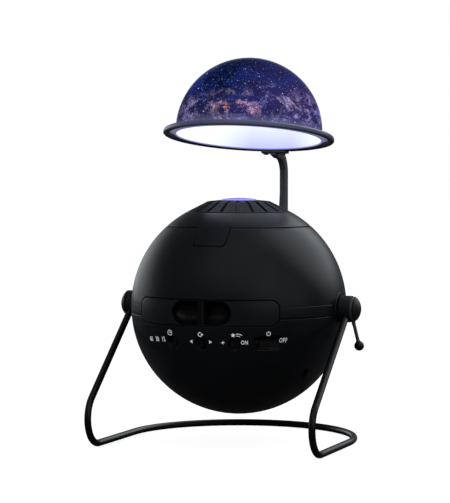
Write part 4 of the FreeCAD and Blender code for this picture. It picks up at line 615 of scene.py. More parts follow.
def night_sky(size):
    """The dome's print, glowing as painted light from the lamp inside: deep blue above, purple to
    one side, a slanting band of lit cloud, stars.

    The pattern is worked out on the unit ball about the dome's centre. The band lies where the
    slanted height, bent by noise, is between two limits. The clouds are noise, broken up by fine
    dust, cool in places, warm near the middle and cut into by a dark lane of other noise. Stars
    are the middles of Voronoi cells, kept where the cell's random value is high.
    """
    mat = Finish("sky_print", Specular_IOR_Level=0.0, Sheen_Weight=1.0, Sheen_Roughness=0.16)
    centred = mat.about_dome(size)
    bend = mat.noise(1.9, 5, 0.62, centred, out="Color")
    bent = mat.vector("SCALE", mat.vector("SUBTRACT", bend, (0.5, 0.5, 0.5)), 0.42)
    warped = mat.vector("ADD", centred, bent)
    drawn = mat.vector("MULTIPLY", warped, (1.0, 1.0, 2.1))
    height = mat.vector("DOT_PRODUCT", warped, (-0.17, 0.1, 0.97))
    band = mat.product(mat.spread(height, -0.3, -0.05), mat.spread(height, 0.0, 0.36, 1.0, 0.0))
    side = mat.axis(warped, 0)
    deep = mat.mix(mat.spread(side, 0.0, 0.85), tint("night"), tint("dusk"))
    patch = mat.spread(mat.noise(2.9, 8, 0.62, warped), 0.47, 0.68)
    deep = mat.mix(mat.product(patch, 0.8), deep, (0.008, 0.026, 0.19, 1))
    deep = mat.mix(mat.product(band, 0.55), deep, (0.03, 0.026, 0.12, 1))
    dust = mat.noise(62.0, 6, 0.85, centred)
    dust = mat.spread(dust, 0.47, 0.62, 0.2, 2.6)
    puffs = mat.spread(mat.noise(4.3, 15, 0.74, drawn), 0.49, 0.62)
    cloud = mat.product(puffs, band, dust)
    tone = mat.spread(mat.noise(2.2, 6, 0.6, warped, out="Color"), 0.46, 0.56)
    cool = mat.mix(tone, tint("mist"), (0.28, 0.3, 0.88, 1))
    sky = mat.mix(cloud, deep, cool)
    core = mat.spread(mat.math("ABSOLUTE", side), 0.25, 0.6, 1.0, 0.0)
    hot = mat.spread(mat.noise(3.1, 11, 0.66, warped), 0.47, 0.62)
    sky = mat.mix(mat.product(hot, core, cloud), sky, tint("ember"))
    lane = mat.spread(mat.noise(4.4, 12, 0.7, drawn, out="Color"), 0.5, 0.58)
    sky = mat.mix(mat.product(lane, mat.product(band, 0.8)), sky, (0.012, 0.009, 0.035, 1))
    for scale, near, far, share, bright in (
        (66.0, 0.1, 0.3, 0.62, 0.5),
        (44.0, 0.08, 0.2, 0.66, 0.8),
        (27.0, 0.08, 0.2, 0.5, 1.0),
        (13.0, 0.06, 0.13, 0.45, 1.3),
        (7.0, 0.04, 0.085, 0.35, 1.6),
    ):
        cell = mat.node("TexVoronoi", {"Vector": centred, "Scale": scale}, feature="F1")
        pick = mat.node("SeparateColor", {0: cell.outputs["Color"]})
        dot = mat.spread(cell.outputs["Distance"], near, far, 1.0, 0.0)
        lit = mat.spread(pick.outputs[0], share, 1.0, 0.0, bright)
        hue = mat.mix(pick.outputs[1], (0.28, 0.36, 1.0, 1), (0.82, 0.8, 1.0, 1))
        sky = mat.mix(mat.product(dot, lit), sky, hue)
    foot = mat.spread(mat.axis(centred, 2), -0.02, 0.09, 0.25, 0.0)
    sky = mat.mix(foot, sky, (0.3, 0.29, 0.52, 1))
    # Painted light: the print glows by emission as if lit from inside; its base colour is a
    # twentieth of it.
    mat.feed(
        Base_Color=mat.mix(0.95, sky, (0, 0, 0, 1)),
        Roughness=mat.spread(mat.noise(45, 3), 0.3, 0.7, 0.3, 0.4),
        Sheen_Tint=(0.7, 0.78, 1.0, 1),
        Emission_Color=sky,
        Emission_Strength=0.95,
    )
    return mat.material


def lit_inside(size):
    """The inside of the dome, as painted light: a milky white glow, with painted lilac shade low
    down in the middle.

    The painted shade is the product of one that falls with the height above the dome's foot and one
    that falls with the distance to the side.
    """
    mat = Finish("dome_inside", Roughness=0.55, Specular_IOR_Level=0.1)
    centred = mat.about_dome(size)
    soft = mat.product(mat.noise(26, 3, 0.5), 0.05)
    height = mat.math("ADD", mat.axis(centred, 2), soft)
    aside = mat.math("ABSOLUTE", mat.axis(centred, 0))
    middle = mat.spread(aside, 0.3, 0.8, 1.0, 0.2)
    low = mat.product(mat.spread(height, -0.04, 0.46, 1.0, 0.0), middle)
    shade = mat.mix(low, tint("glow"), (0.42, 0.44, 0.98, 1))
    base = mat.mix(0.5, shade, (0.2, 0.2, 0.24, 1))
    mat.feed(Base_Color=base, Emission_Color=shade, Emission_Strength=0.92)
    return mat.material


def glass(name, tone):
    """Lens glass over the lamp's light: hard and smooth, with a faint cloudy glow of its tone."""
    mat = Finish(name, Roughness=0.04, IOR=1.5, Coat_Weight=0.6, Coat_Roughness=0.02)
    soft = mat.noise(70, 2, 0.4)
    shade = mat.mix(mat.spread(soft, 0.3, 0.7), tone, shaded(tone, 0.8))
    base = mat.mix(0.85, shade, (0.01, 0.01, 0.05, 1))
    mat.feed(Base_Color=base, Emission_Color=shade, Emission_Strength=1.1)
    return mat.material


def finishes(size):
    """Every finish of the projector, by name.

    The lined one has its line as far above the ball's centre as the seam is below it.
    """
    return {
        "casing": moulded("casing", tint("casing"), 0.31),
        "casing_lined": moulded("casing_lined", tint("casing"), 0.31, groove=size.seam),
        "drawer": moulded("drawer", tint("drawer"), 0.29, 0.06),
        # hollow: painted shade, darker than the casing, for recesses and undersides.
        "hollow": moulded("hollow", tint("hollow"), 0.34, 0.04, 0.2),
        # skirt: painted lilac glow on the ring's inner side, as emission.
        "skirt": moulded(
            "skirt", tint("skirt"), 0.5, 0.05, Emission_Color=tint("skirt"), Emission_Strength=0.45
        ),
        "stand": drawn_metal("stand", tint("stand"), 0.22, Specular_IOR_Level=0.25),
        "hub": moulded("hub", tint("hub"), 0.42),
        "focus": moulded("focus", tint("ring"), 0.42, 0.16, gloss=0.09),
        # rim: the ring's blue-grey, lightened as painted light from the dome.
        "rim": moulded("rim", tint("rim"), 0.34, gloss=0.5),
        "arm": moulded("arm", tint("arm"), 0.42, 0.05, gloss=0.08),
        "knob": moulded("knob", (0.003, 0.003, 0.0035, 1), 0.42, gloss=0.2),
        "steel": drawn_metal("steel", (0.45, 0.45, 0.46, 1), 0.32, Metallic=1.0),
        "dark_steel": drawn_metal("dark_steel", (0.03, 0.03, 0.033, 1), 0.28, Metallic=0.4),
        "acetal": moulded("acetal", (0.06, 0.06, 0.065, 1), 0.4),
        "board": moulded("board", (0.01, 0.09, 0.04, 1), 0.4),
        "alloy": drawn_metal("alloy", (0.5, 0.51, 0.52, 1), 0.4, Metallic=1.0),
        "inner": moulded("inner", (0.02, 0.02, 0.022, 1), 0.55),
        "film": moulded("film", (0.015, 0.015, 0.02, 1), 0.16, 0.02),
        "ink": moulded("ink", tint("mark"), 0.5, 0.03),
        "sky": night_sky(size),
        "inside": lit_inside(size),
        "lens": glass("lens", tint("lens")),
        "clear": glass("clear", (0.05, 0.05, 0.09, 1)),
    }


FINISHES = {}


def finish(name):
    """A finish by name, made with the others when the first one is asked for."""
    if not FINISHES:
        FINISHES.update(finishes(sizes()))
    return FINISHES[name]


# ---- Casing ----

CORNER = (33.0, 47.4)  # keys of the columns at a corner of the drawer's hole
COLLAR = (78.0, 102.0)  # keys of the columns round a collar
TAB = (8.0, 17.0)  # keys of the columns at a side of the cover's tab
SWITCHES = (-17.5, 0.0, 18.0)  # longitudes of the three small switches
POWER = 36.5  # longitude of the power switch
SCREWS = ((50.0, -22.0), (50.0, 25.0))  # places (x, y) of the casing's screws on the right
WINDOW_TOP, WINDOW_FOOT = -12.6, -24.4  # levels between which the switches lie
SINK_TOP, SINK_FOOT = -30.0, -45.5  # levels between which the screw holes lie
SINK_FLOOR = -15.0  # level of the screw holes' floors
SCOOP_DEPTH = 2.3  # depth of the switch recesses, seen level
LIP_ROWS = 10  # rows of a recess that belong to its lip
INLET_TOP, INLET = -18.5, -24.0  # upper level of the inlet's place, and its middle
INLET_DEEP = 58.0  # distance of the inlet's floor from the ball's middle


def spaced(start, *steps):
    """Columns from start, in even steps up to each (end, count)."""
    runs, here = [np.array([float(start)])], start
    for end, count in steps:
        runs.append(np.linspace(here, end, count + 1)[1:])
        here = end
    return joined(*runs)


def front_longitude(across, level, radius):
    """The longitude of the ball's point that lies at (across, level) seen from the front."""
    return np.degrees(np.arcsin(across / np.sqrt(radius**2 - np.square(level))))


def whole_turn(right):
    """An edge from the stretches of its right half, mirrored to the left and carried on behind."""
    left = [(-k[::-1], -lon[::-1], level[::-1]) for k, lon, level in reversed(right)]
    behind = [(k + 360, lon + 360, level) for k, lon, level in left]
    return left + right + behind


def collar_stretch(size, way, seam):
    """The edge round the right collar's hole, below the seam (way -1) or above it (way 1)."""
    hole = size.collar + 0.1
    start = math.degrees(math.asin(way * seam / hole))
    y, z = arc((0, 0), hole, start, 180 - start, 72).T
    level = way * z
    longitude = 90 - np.degrees(np.arcsin(y / np.sqrt(size.ball**2 - level**2)))
    return keyed(longitude, level, *COLLAR, size.ball)


def drawer_stretch(size, way, seam):
    """The edge of the drawer hole's right end, below the seam (way -1) or above it (way 1)."""
    half, fillet = size.drawer_half + size.gap, size.drawer_corner + size.gap
    top, foot = size.drawer_rise + size.gap, size.drawer_drop + size.gap
    low = np.array((half - fillet, fillet - foot))
    high = np.array((half - fillet, top - fillet))
    turn = math.degrees(math.asin((seam - low[1]) / fillet))
    if way < 0:
        path = arc(low, fillet, -90, turn, 24)
    else:
        path = joined(arc(high, fillet, 90, 0, 24), arc(low, fillet, 0, turn, 4))
    longitude = front_longitude(path[:, 0], path[:, 1], size.ball)
    return keyed(longitude, path[:, 1], *CORNER, size.ball)


def seam_edge(size, way):
    """The casing's edge along the main seam: lower part (way -1) or upper part (way 1)."""
    seam = -size.seam + way * size.gap / 2
    corner, collar = drawer_stretch(size, way, seam), collar_stretch(size, way, seam)

    def straight(start, end, first, last, level):
        """A level stretch between two longitudes."""
        return keyed([first, last], [level, level], start, end, size.ball)

    right = [
        straight(0, CORNER[0], 0, corner[1][0], corner[2][0]),
        corner,
        straight(CORNER[1], COLLAR[0], corner[1][-1], collar[1][0], seam),
        collar,
        straight(COLLAR[1], 180, collar[1][-1], 180, seam),
    ]
    return whole_turn(right)


def tab_edge(size, slack):
    """The edge along the cover's seam, a slack outside the cover's own edge."""
    rim = math.sqrt(size.ball**2 - size.cover**2)
    half = size.tab_half - size.gap + slack
    level = rim + size.gap / 2 - slack
    foot = rim - size.tab_length + size.gap - slack
    fillet = size.tab_corner
    bend = arc((half - fillet, foot + fillet), fillet, -90, 0, 12)
    path = joined(bend, [(half, level)])
    path = joined(path[:-1], line(path[-2], path[-1], 12)[1:])
    longitude = front_longitude(path[:, 0], path[:, 1], size.ball)
    side = keyed(longitude, path[:, 1], *TAB, size.ball)
    middle = keyed([0, longitude[0]], [foot, foot], 0, TAB[0], size.ball)
    rest = keyed([longitude[-1], 180], [level, level], TAB[1], 180, size.ball)
    return whole_turn([middle, side, rest])


def edge_rows(stretches, columns, size, inwards):
    """The rolled edge along a line of the casing, and the line where its outer surface starts."""
    edge = edge_line(stretches, columns)
    rows = rolled(
        ball_point(edge[:, 0], edge[:, 1], size.ball), size.ball, size.wall, size.edge, inwards
    )
    return rows, surface_line(rows[0], edge[:, 0])


def surface_line(points, near):
    """The longitudes and levels of a row of points."""
    return stacked(longitude_of(points, near), points[..., 2])


def window(grid, rows, columns):
    """The border of a window in a grid: along its top, down, back along its foot, and up."""
    (top, foot), (left, right) = rows, columns
    return joined(
        grid[top, left:right],
        grid[top:foot, right],
        grid[foot, right:left:-1],
        grid[foot:top:-1, left],
        grid[top : top + 1, left],
    )


def pierced(inner, outer, radius):
    """Where the lines from inner through outer points leave the ball.

    With D = outer - inner, the share t solves |inner + t D| = radius.
    """
    way = outer - inner
    a = (way * way).sum(-1, keepdims=True)
    b = (inner * way).sum(-1, keepdims=True)
    c = (inner * inner).sum(-1, keepdims=True) - radius**2
    return inner + (-b + np.sqrt(b * b - a * c)) / a * way


class Opening:
    """A grid of the casing, the windows cut into it, and the recesses that fill them.

    levels has a level for each row; rows that no window may cut have one out of reach.
    """

    def __init__(self, grid, levels, columns, size):
        self.grid, self.levels, self.columns, self.size = grid, levels, columns, size
        self.hole = np.zeros((grid.shape[0] - 1, grid.shape[1] - 1), bool)
        self.patches = []

    def cut(self, longitude, half, top, foot):
        """Take a window out of the grid and give its border and the counts of its sides."""
        rows = [int(np.abs(self.levels - level).argmin()) for level in (top, foot)]
        ends = [int(np.abs(self.columns - longitude - s * half).argmin()) for s in (-1, 1)]
        self.hole[rows[0] : rows[1], ends[0] : ends[1]] = True
        wide, high = ends[1] - ends[0], rows[1] - rows[0]
        return window(self.grid, rows, ends), (wide, high, wide, high)

    def fill(self, border, mouth, floor, roll, soft):
        """Put a recess into a window: its lip in the casing's finish, the rest in a darker one as
        painted shade.
        """
        rows = recess(border, mouth, floor, self.size.ball, roll, soft)
        self.patches += [(rows[:LIP_ROWS], 0, None), (rows[LIP_ROWS - 1 :], 1, None)]

    def scoop(self, longitude, half, mouth, floor):
        """A switch's recess, seen level from outside; mouth and floor are (corners, radius)."""
        border, counts = self.cut(longitude, half, WINDOW_TOP, WINDOW_FOOT)
        out, across, up = facing(longitude)
        level = -self.size.switch_drop
        ring = math.sqrt(self.size.ball**2 - level**2)
        lip, base = (
            placed(lifted(looped(*outline, counts)), out * distance + up * level, across, up, out)
            for outline, distance in ((mouth, ring), (floor, ring - SCOOP_DEPTH))
        )
        self.fill(border, pierced(base, lip, self.size.ball), base, 0.55, 0.5)

    def well(self, spot, outline, place):
        """A recess with straight walls: its window, its floor's (corners, radius) and place."""
        border, counts = self.cut(*spot)
        floor = placed(lifted(looped(*outline, counts)), *place)
        self.fill(border, pierced(floor, floor + place[-1], self.size.ball), floor, 0.3, 0.2)


def facing(longitude):
    """The directions out, across and up at a longitude."""
    turn = math.radians(longitude)
    out = np.array((math.sin(turn), -math.cos(turn), 0.0))
    return out, np.array((math.cos(turn), math.sin(turn), 0.0)), np.array((0.0, 0.0, 1.0))


def corners_of(half_top, half_foot, rise, drop):
    """The four corners of an outline, from the upper left one on."""
    return [(-half_top, rise), (half_top, rise), (half_foot, -drop), (-half_foot, -drop)]


def lower_casing(size):
    """The lower half of the ball: rolled seam, four switch recesses, four screw holes, an inlet."""
    columns = spaced(
        START, (-122.1, 7), (-111.1, 14), (-102, 6), (-78, 56), (-71.8, 4), (-60.8, 14),
        (-47.4, 7), (-33, 30), (-22.7, 7), (-12.3, 14), (-5.2, 6), (5.2, 14), (12.8, 6),
        (23.2, 14), (25.6, 2), (33, 8), (47.4, 30), (60.8, 7), (71.8, 14), (78, 4), (102, 56),
        (111.1, 6), (122.1, 14), (173.4, 26), (186.6, 14), (END, 20),
    )  # fmt: skip
    edge, start = edge_rows(seam_edge(size, -1), columns, size, -1)
    upper = band(start, stacked(columns, WINDOW_TOP), np.linspace(0, 1, 10) ** 1.3)
    levels = spaced(WINDOW_TOP, (WINDOW_FOOT, 12), (SINK_TOP, 3), (SINK_FOOT, 12))
    fall = np.linspace(math.acos(-SINK_FOOT / size.ball), 0, 15)[1:]
    levels = joined(levels, -size.ball * np.cos(fall))
    surface = joined(upper, stacked(columns, levels[1:, None]))
    outer = ball_point(surface[..., 0], surface[..., 1], size.ball)
    inner_edge = surface_line(edge[-1], columns)
    inside = size.ball - size.wall
    inner = band(stacked(columns, -inside), inner_edge, np.sin(np.linspace(0, np.pi / 2, 16)))
    skin = ball_point(inner[:-1, :, 0], inner[:-1, :, 1], inside)
    grid = joined(skin, edge[::-1], outer[1:])
    out_of_reach = np.full(len(grid) - len(levels), size.ball)
    opening = Opening(grid, joined(out_of_reach, levels), columns, size)
    small = (corners_of(4.1, 4.1, 4.1, 4.1), 4.09), (corners_of(3.1, 3.1, 3.1, 3.1), 3.09)
    wide = (corners_of(10.25, 7.75, 4.5, 4.5), 1.2), (corners_of(8.55, 6.05, 2.8, 2.8), 0.8)
    for longitude in SWITCHES:
        opening.scoop(longitude, 5.2, *small)
    opening.scoop(POWER, 10.9, *wide)
    screw, inlet = (corners_of(2.8, 2.8, 2.8, 2.8), 2.79), (corners_of(4.9, 4.9, 2.5, 2.5), 0.8)
    for way in (-1, 1):
        for across, along in SCREWS:
            longitude = way * math.degrees(math.atan2(across, -along))
            out, aside, up = facing(longitude)
            place = (way * across, along, SINK_FLOOR), aside, out, -up
            opening.well((longitude, 5.5, SINK_TOP, SINK_FOOT), screw, place)
    out, aside, up = facing(180)
    place = out * INLET_DEEP + up * INLET, aside, up, out
    opening.well((180, 6.6, INLET_TOP, SINK_TOP), inlet, place)
    return [(grid, 0, opening.hole), *opening.patches]


def ring_of_casing(size, columns, lower, middle, upper, tongue=None):
    """A closed band of the casing between two edges, with its inner skin.

    lower and upper are (stretches, side of the material) and middle the lines between them. A
    tongue is how far the inner half of the lower edge reaches down at each column, so that no
    light passes through the seam.
    """
    foot, first = edge_rows(lower[0], columns, size, lower[1])
    if tongue is not None:
        edge = edge_line(lower[0], columns)
        half_in, inside = size.ball - size.wall / 2, size.ball - size.wall
        tips = [
            ball_point(edge[:, 0], edge[:, 1] - drop, radius)[None]
            for drop, radius in ((0.0, half_in), (tongue, half_in), (tongue, inside))
        ]
        foot = joined(foot[:-1], *tips)
    head, last = edge_rows(upper[0], columns, size, upper[1])
    lines = middle(first, last)
    outer = ball_point(lines[..., 0], lines[..., 1], size.ball)
    ends = surface_line(head[-1], columns), surface_line(foot[-1], columns)
    inner = band(*ends, np.linspace(0, 1, 15)[1:-1])
    skin = ball_point(inner[..., 0], inner[..., 1], size.ball - size.wall)
    return [joined(foot[::-1], outer[1:-1], head, skin, foot[-1:])]


def upper_casing(size):
    """The upper half of the ball: rolled seams, round the drawer, the collars and the tab."""
    columns = spaced(
        START, (-102, 18), (-78, 60), (-47.4, 16), (-33, 44), (-17, 8), (-8, 30), (8, 12),
        (17, 30), (33, 8), (47.4, 44), (78, 16), (102, 60), (END, 66),
    )  # fmt: skip

    def middle(first, last):
        """Lines over the outside, level in the middle."""
        even = stacked(columns, 14.0), stacked(columns, 36.0)
        low = band(first, even[0], np.linspace(0, 1, 12) ** 1.2)
        high = band(even[1], last, np.linspace(0, 1, 12))
        return joined(low, band(*even, np.linspace(0, 1, 15))[1:-1], high)

    lower, upper = (seam_edge(size, 1), 1), (tab_edge(size, size.gap), -1)
    behind_collar, touch = [103, 106], 0.02
    tongue = np.interp(np.abs(columns), behind_collar, [touch, size.gap - touch])
    return ring_of_casing(size, columns, lower, middle, upper, tongue)


def top_cover(size):
    """The cover on the ball's top, with its tab in front and the round hole for the lens."""
    columns = spaced(-180, (-17, 64), (-8, 32), (8, 14), (17, 32), (180, 64))
    rim = 59.2
    hole = [keyed([-180, 180], [rim, rim], -180, 180, size.ball)]

    def middle(first, last):
        """Lines over the outside."""
        return band(first, last, np.linspace(0, 1, 18))

    return ring_of_casing(size, columns, (tab_edge(size, 0), 1), middle, (hole, -1))


GRIP_AXIS = -66.3  # where the axis of the finger hollows lies
GRIP_HIGH = 7.3  # half the height of the rib and the block of the pinch grip


def drawer_skin(size):
    """The drawer's front: a rounded plate of the ball with two finger hollows and a rib.

    The hollows share a round wall of radius r about a line along x, with the home points of the
    columns on it. A column leaves its home point in its own direction, and the wall comes out of
    a ball at the spread sqrt(r^2 - d^2), where d is how far the ball lies behind the line there.
    Each try takes d at the last spread.
    """
    counts = (84, 18, 84, 18)
    thick, roll = 3.0, 0.4
    radius, inside = size.ball, size.ball - thick
    middle = (size.drawer_rise - size.drawer_drop) / 2
    corners = corners_of(size.drawer_half, size.drawer_half, size.drawer_rise, size.drawer_drop)
    outline = looped(corners, size.drawer_corner, counts)

    def on_front(flat, ball):
        """Points seen flat from the front, on the front of a ball."""
        y = -np.sqrt(ball**2 - (flat**2).sum(-1))
        return stacked(flat[..., 0], y, flat[..., 1])

    high = size.grip_radius - 0.1
    reach = size.grip_half + high
    pocket = looped(corners_of(reach, reach, high + middle, high - middle), high * 0.999, counts)
    home = stacked(np.clip(pocket[:, 0], -size.grip_half, size.grip_half), middle)
    way = unit(pocket - home)
    base = stacked(home[:, 0], GRIP_AXIS, home[:, 1])
    aside, behind = stacked(way[:, 0], 0.0, way[:, 1]), np.array((0.0, 1.0, 0.0))

    def meet(spread, ball, wall, tries):
        """Where the hollows' round wall comes out of a ball, and its angle there."""
        for _ in range(tries):
            spot = on_front(home + way * spread, ball)
            drop = spot[:, 1:2] - GRIP_AXIS
            spread = np.sqrt(np.maximum(wall**2 - drop**2, 1))
        return spot, spread, np.arctan2(spread, drop)

    def around(wall, turn):
        """Points of a round wall about the hollows' axis, at an angle from straight back."""
        return base + wall * (np.sin(turn) * aside + np.cos(turn) * behind)

    shell = size.grip_radius + 0.4
    mouth, spread, turn = meet(np.full((len(pocket), 1), high), radius, size.grip_radius, 4)
    turn_behind = meet(spread, inside, shell, 8)[2]
    hollow = around(size.grip_radius, turn * np.linspace(1, 0, 20)[:, None, None])
    cup = around(shell, turn_behind * np.linspace(1, 0, 14)[:, None, None])
    edge = rolled(on_front(outline, radius), radius, thick, size.edge, -1)
    rim = edge[0][:, [0, 2]]
    lip_start = mouth[:, [0, 2]] + way * roll
    plate = on_front(band(rim, lip_start, [0, 0.04, 0.12, 0.3, 0.55, 0.8, 0.94, 1]), radius)
    inner_lip = around(size.grip_radius, turn - roll / size.grip_radius)
    lip = curve(plate[-1], mouth, inner_lip, 4)
    back, foot = edge[-1][:, [0, 2]], cup[0][:, [0, 2]]
    inner = on_front(band(back, foot, np.linspace(0, 1, 6)[:-1]), inside)
    face = joined(cup[::-1], inner[::-1], edge[::-1][1:], plate[1:], lip[1:2])
    pocket = joined(lip[1:], hollow[2:])
    rib, block = drawer_rib(size, middle), drawer_block(size, middle)
    # The pocket and the rib take the hollow finish, a deeper black painted as shade.
    return [(face, 0, None), (pocket, 1, None), (rib, 1, None), (block, 0, None)]


def drawer_rib(size, middle):
    """The upright rib between the hollows: a bar with a round nose."""
    level = line(middle - GRIP_HIGH, middle + GRIP_HIGH, 16)
    front = stacked(0.0, -67.0, level)
    return strip(front, front + (0, 8.2, 0), (size.grip_rib / 2, 0, 0), size.grip_rib / 2 - 0.02, 7)


def drawer_block(size, middle):
    """The block behind the hollows: a box along x whose inside follows the hollows' back.

    For |x| beyond the end centre e, the inner arc has the radius sqrt(r^2 - (|x| - e)^2). No point
    lies in front of the box's own front.
    """
    end = size.grip_half + size.grip_radius
    across = line(-end, end, 48)[:, None]
    beyond = np.maximum(np.abs(across) - size.grip_half, 0)
    clear, reach, skin = 0.2, 75, 0.05
    radius = np.sqrt((size.grip_radius + clear) ** 2 - beyond**2)
    turn = np.radians(np.linspace(-reach, reach, 21))
    front = -np.sqrt((size.ball - 1.5) ** 2 - across**2 - GRIP_HIGH**2)
    inner_y = np.maximum(GRIP_AXIS + radius * np.cos(turn), front + skin)
    inner_z = middle + radius * np.sin(turn)
    rear, bevel = -56.8, 0.8
    side = np.broadcast_to([rear - bevel, rear, rear, rear - bevel], (len(across), 4))
    high, low = GRIP_HIGH, GRIP_HIGH - bevel
    box_z = middle + np.broadcast_to([high, high, low, -low, -high, -high], (len(across), 6))
    y = np.concatenate([front, side, front, inner_y, front], 1)
    z = np.concatenate([box_z, inner_z, box_z[:, :1]], 1)
    grid = stacked(across, y, z)
    ends = [pinched((grid[i, 2] + grid[i, 3]) / 2, grid[:1]) for i in (0, -1)]
    return joined(ends[0], grid, ends[1])


# ---- Focus ring and lens ----


def focus_shape(size):
    """The ring round the lens: a cone with radial slots, on a sleeve.

    A column at the offset w from a slot's middle lies at the angle asin(w / r), so a slot is as
    wide everywhere. Its depth fades in over a few columns and rows, which gives it round edges.
    """
    ring, shoulder = size.ring, size.shoulder
    edge_z, crown_z, bore_z = 59.43, 65.83, 66.53
    radii = joined(
        [12.25, 12.5, 12.62, 12.9, 13.3, 13.8], line(14.3, shoulder - 0.6, 5), [shoulder],
        line(shoulder + 0.6, 30.6, 9), [30.82, 30.98, 31.07, 31.16, 31.3, ring - 0.45, ring - 0.2],
    )  # fmt: skip
    fall = np.interp(radii, [11.85, shoulder, ring], [bore_z, crown_z, edge_z])
    soft = np.interp(np.abs(radii - shoulder), [0, 0.6], [0.06, 0])
    top = stacked(radii, fall - soft)
    lower = filleted(
        [(ring - 0.2, edge_z + 0.1), (ring, edge_z - 0.15), (ring, 57.7), (30.2, 57.7),
         (18.6, 63.4), (15.35, 63.4), (15.35, 60.1), (13.35, 60.1), (13.35, 50), (11.35, 50),
         (11.35, bore_z - 0.5), (11.6, bore_z - 0.1)],
        [0.2, 0.35, 0.3, 0.2, 0.2, 0.2, 0.2, 0.2, 0.2, 0.1], 2,
    )  # fmt: skip
    start = [(11.6, bore_z - 0.1), (11.85, bore_z)]
    profile = joined(start, top, lower[1:])
    cut = np.interp(
        profile[:, 0], [12.62, 14.2, 30.82, 30.98, 31.07, 31.16], [0, 1, 1, 0.98, 0.9, 0]
    )  # fmt: skip
    cut[len(start) + len(top) :] = 0
    half = size.slot / 2
    aside = half + np.array([0.2, 0.05, -0.03, -0.12])  # offsets of a slot's columns
    depth = [0, 0.03, 0.9, 1.0, 1.0, 1.0, 0.9, 0.03, 0]  # shares of its depth there
    turn = np.arcsin(joined(-aside, [0], aside[::-1]) / profile[:, :1])
    step = math.pi / size.rib_count
    outer = stacked((turn[:, -1] * 2 + step) / 3, (turn[:, -1] + 2 * step) / 3)
    turn = np.concatenate([-outer[:, ::-1], turn, outer], 1)
    depth = np.pad(depth, 2)
    sectors = np.arange(size.rib_count) * 2 * step
    turn = (turn[:, None] + sectors[None, :, None]).reshape(len(profile), -1)
    turn = np.concatenate([turn, turn[:, :1]], 1)
    depth = closed(np.tile(depth, size.rib_count))
    level = profile[:, 1:] - size.slot_depth * cut[:, None] * depth
    return [stacked(profile[:, :1] * np.sin(turn), -profile[:, :1] * np.cos(turn), level)]


def crown(rim, height, top, steps):
    """A cap's arc in (radius, height), from the middle to the rim.

    The sag s and the rim radius r give the arc's radius (r^2 + s^2) / 2s.
    """
    sag = top - height
    bow = (rim**2 + sag**2) / (2 * sag)
    radius = np.linspace(0, rim, steps + 1)
    return stacked(radius, top - np.sign(sag) * (abs(bow) - np.sqrt(bow**2 - radius**2)))


def lens_shape():
    """The front lens: a low crown over a wide rim that steps in to its seat."""
    rim, wide, seat = 10.5, 10.95, 10.1  # radii of the crown, of the widest part and of the seat
    edge, ledge, foot = 67.15, 66.24, 63.2  # levels of the crown's edge, the ledge and the back
    back = filleted([(rim, edge), (wide, edge - 0.45), (wide, ledge), (seat, ledge), (seat, foot),
                     (0, foot)], [0.4, 0.15, 0.1, 0.3], 3)  # fmt: skip
    return [turned(joined(crown(rim, edge, edge + 0.7, 20), back[1:]), 96)]


# ---- Stand, hubs and lever ----


def stand_path(size):
    """The middle line of the bent wire: left leg, rail, round the back, rail and right leg."""
    spread, floor, into_hub = size.spread, size.rod - size.centre, 4.4
    start = -into_hub * np.array((math.cos(size.leg_slope), math.sin(size.leg_slope)))
    corner = floor / math.tan(size.leg_slope)
    side = filleted([start, (corner, floor), (size.rail_back, floor)], size.bend, 18)
    side = joined(line(side[0], side[1], 26)[:-1], side[1:-2], line(side[-2], side[-1], 18))
    left = stacked(-spread, side[:, 0], side[:, 1])
    back = lifted(arc((0, size.rail_back), spread, 180, 0, 72)[1:-1], floor)
    return joined(left, back, left[::-1] * (-1, 1, 1))


def wire(size):
    """The stand's wire: a circle carried along its middle line, closed at both ends."""
    path = stand_path(size)
    aside = stacked(path[:, 0], np.maximum(path[:, 1] - size.rail_back, 0), 0.0)
    tube = swept(path, aside, arc((0, 0), size.rod, 0, 360, 28))
    return [joined(pinched(path[0], tube[:1]), tube, pinched(path[-1], tube[:1]))]


def hub_shape(size, way):
    """A hub beside the ball, turned about x, with rolled edges and a bore for the pin."""
    inner, outer, bore = 67.1, 74.4, 3.05
    profile = filleted(
        [(bore, inner + 1), (bore, inner), (size.hub, inner), (size.hub, outer), (bore, outer),
         (bore, inner + 1)], [0.2, 0.8, 0.35, 0.2], 5,
    )  # fmt: skip
    return [turned(profile * (1, way), 84, axis=0)]


def collar_shape(size, way):
    """The round bearing in the casing's side, of which the flange shows."""
    profile = filleted(
        [(4.05, 60.5), (4.05, 59.9), (9.8, 59.9), (9.8, 61.7), (8.1, 61.9), (8.1, 65.4),
         (size.collar, 65.5), (size.collar, 67.0), (4.05, 67.0), (4.05, 60.5)],
        [0.1, 0.2, 0.2, 0.1, 0.1, 0.1, 0.4, 0.2], 4,
    )  # fmt: skip
    return [turned(profile * (1, way), 96, axis=0)]


def button(rim, start, edge, top):
    """A domed cap turned about x: flat inside, a short rim, and a crown."""
    sign = math.copysign(1, top - edge)
    cap = crown(rim - 0.12, edge + sign * 0.1, top, 14)[::-1]
    body = filleted([(0, start), (rim, start), (rim, edge), tuple(cap[0])], [0.25, 0.25], 4)
    return [turned(joined(body[:-1], cap), 84, axis=0)]


LEVER_BALL = (78.95, 0.0, -22.5)  # middle of the ball on the lever's end


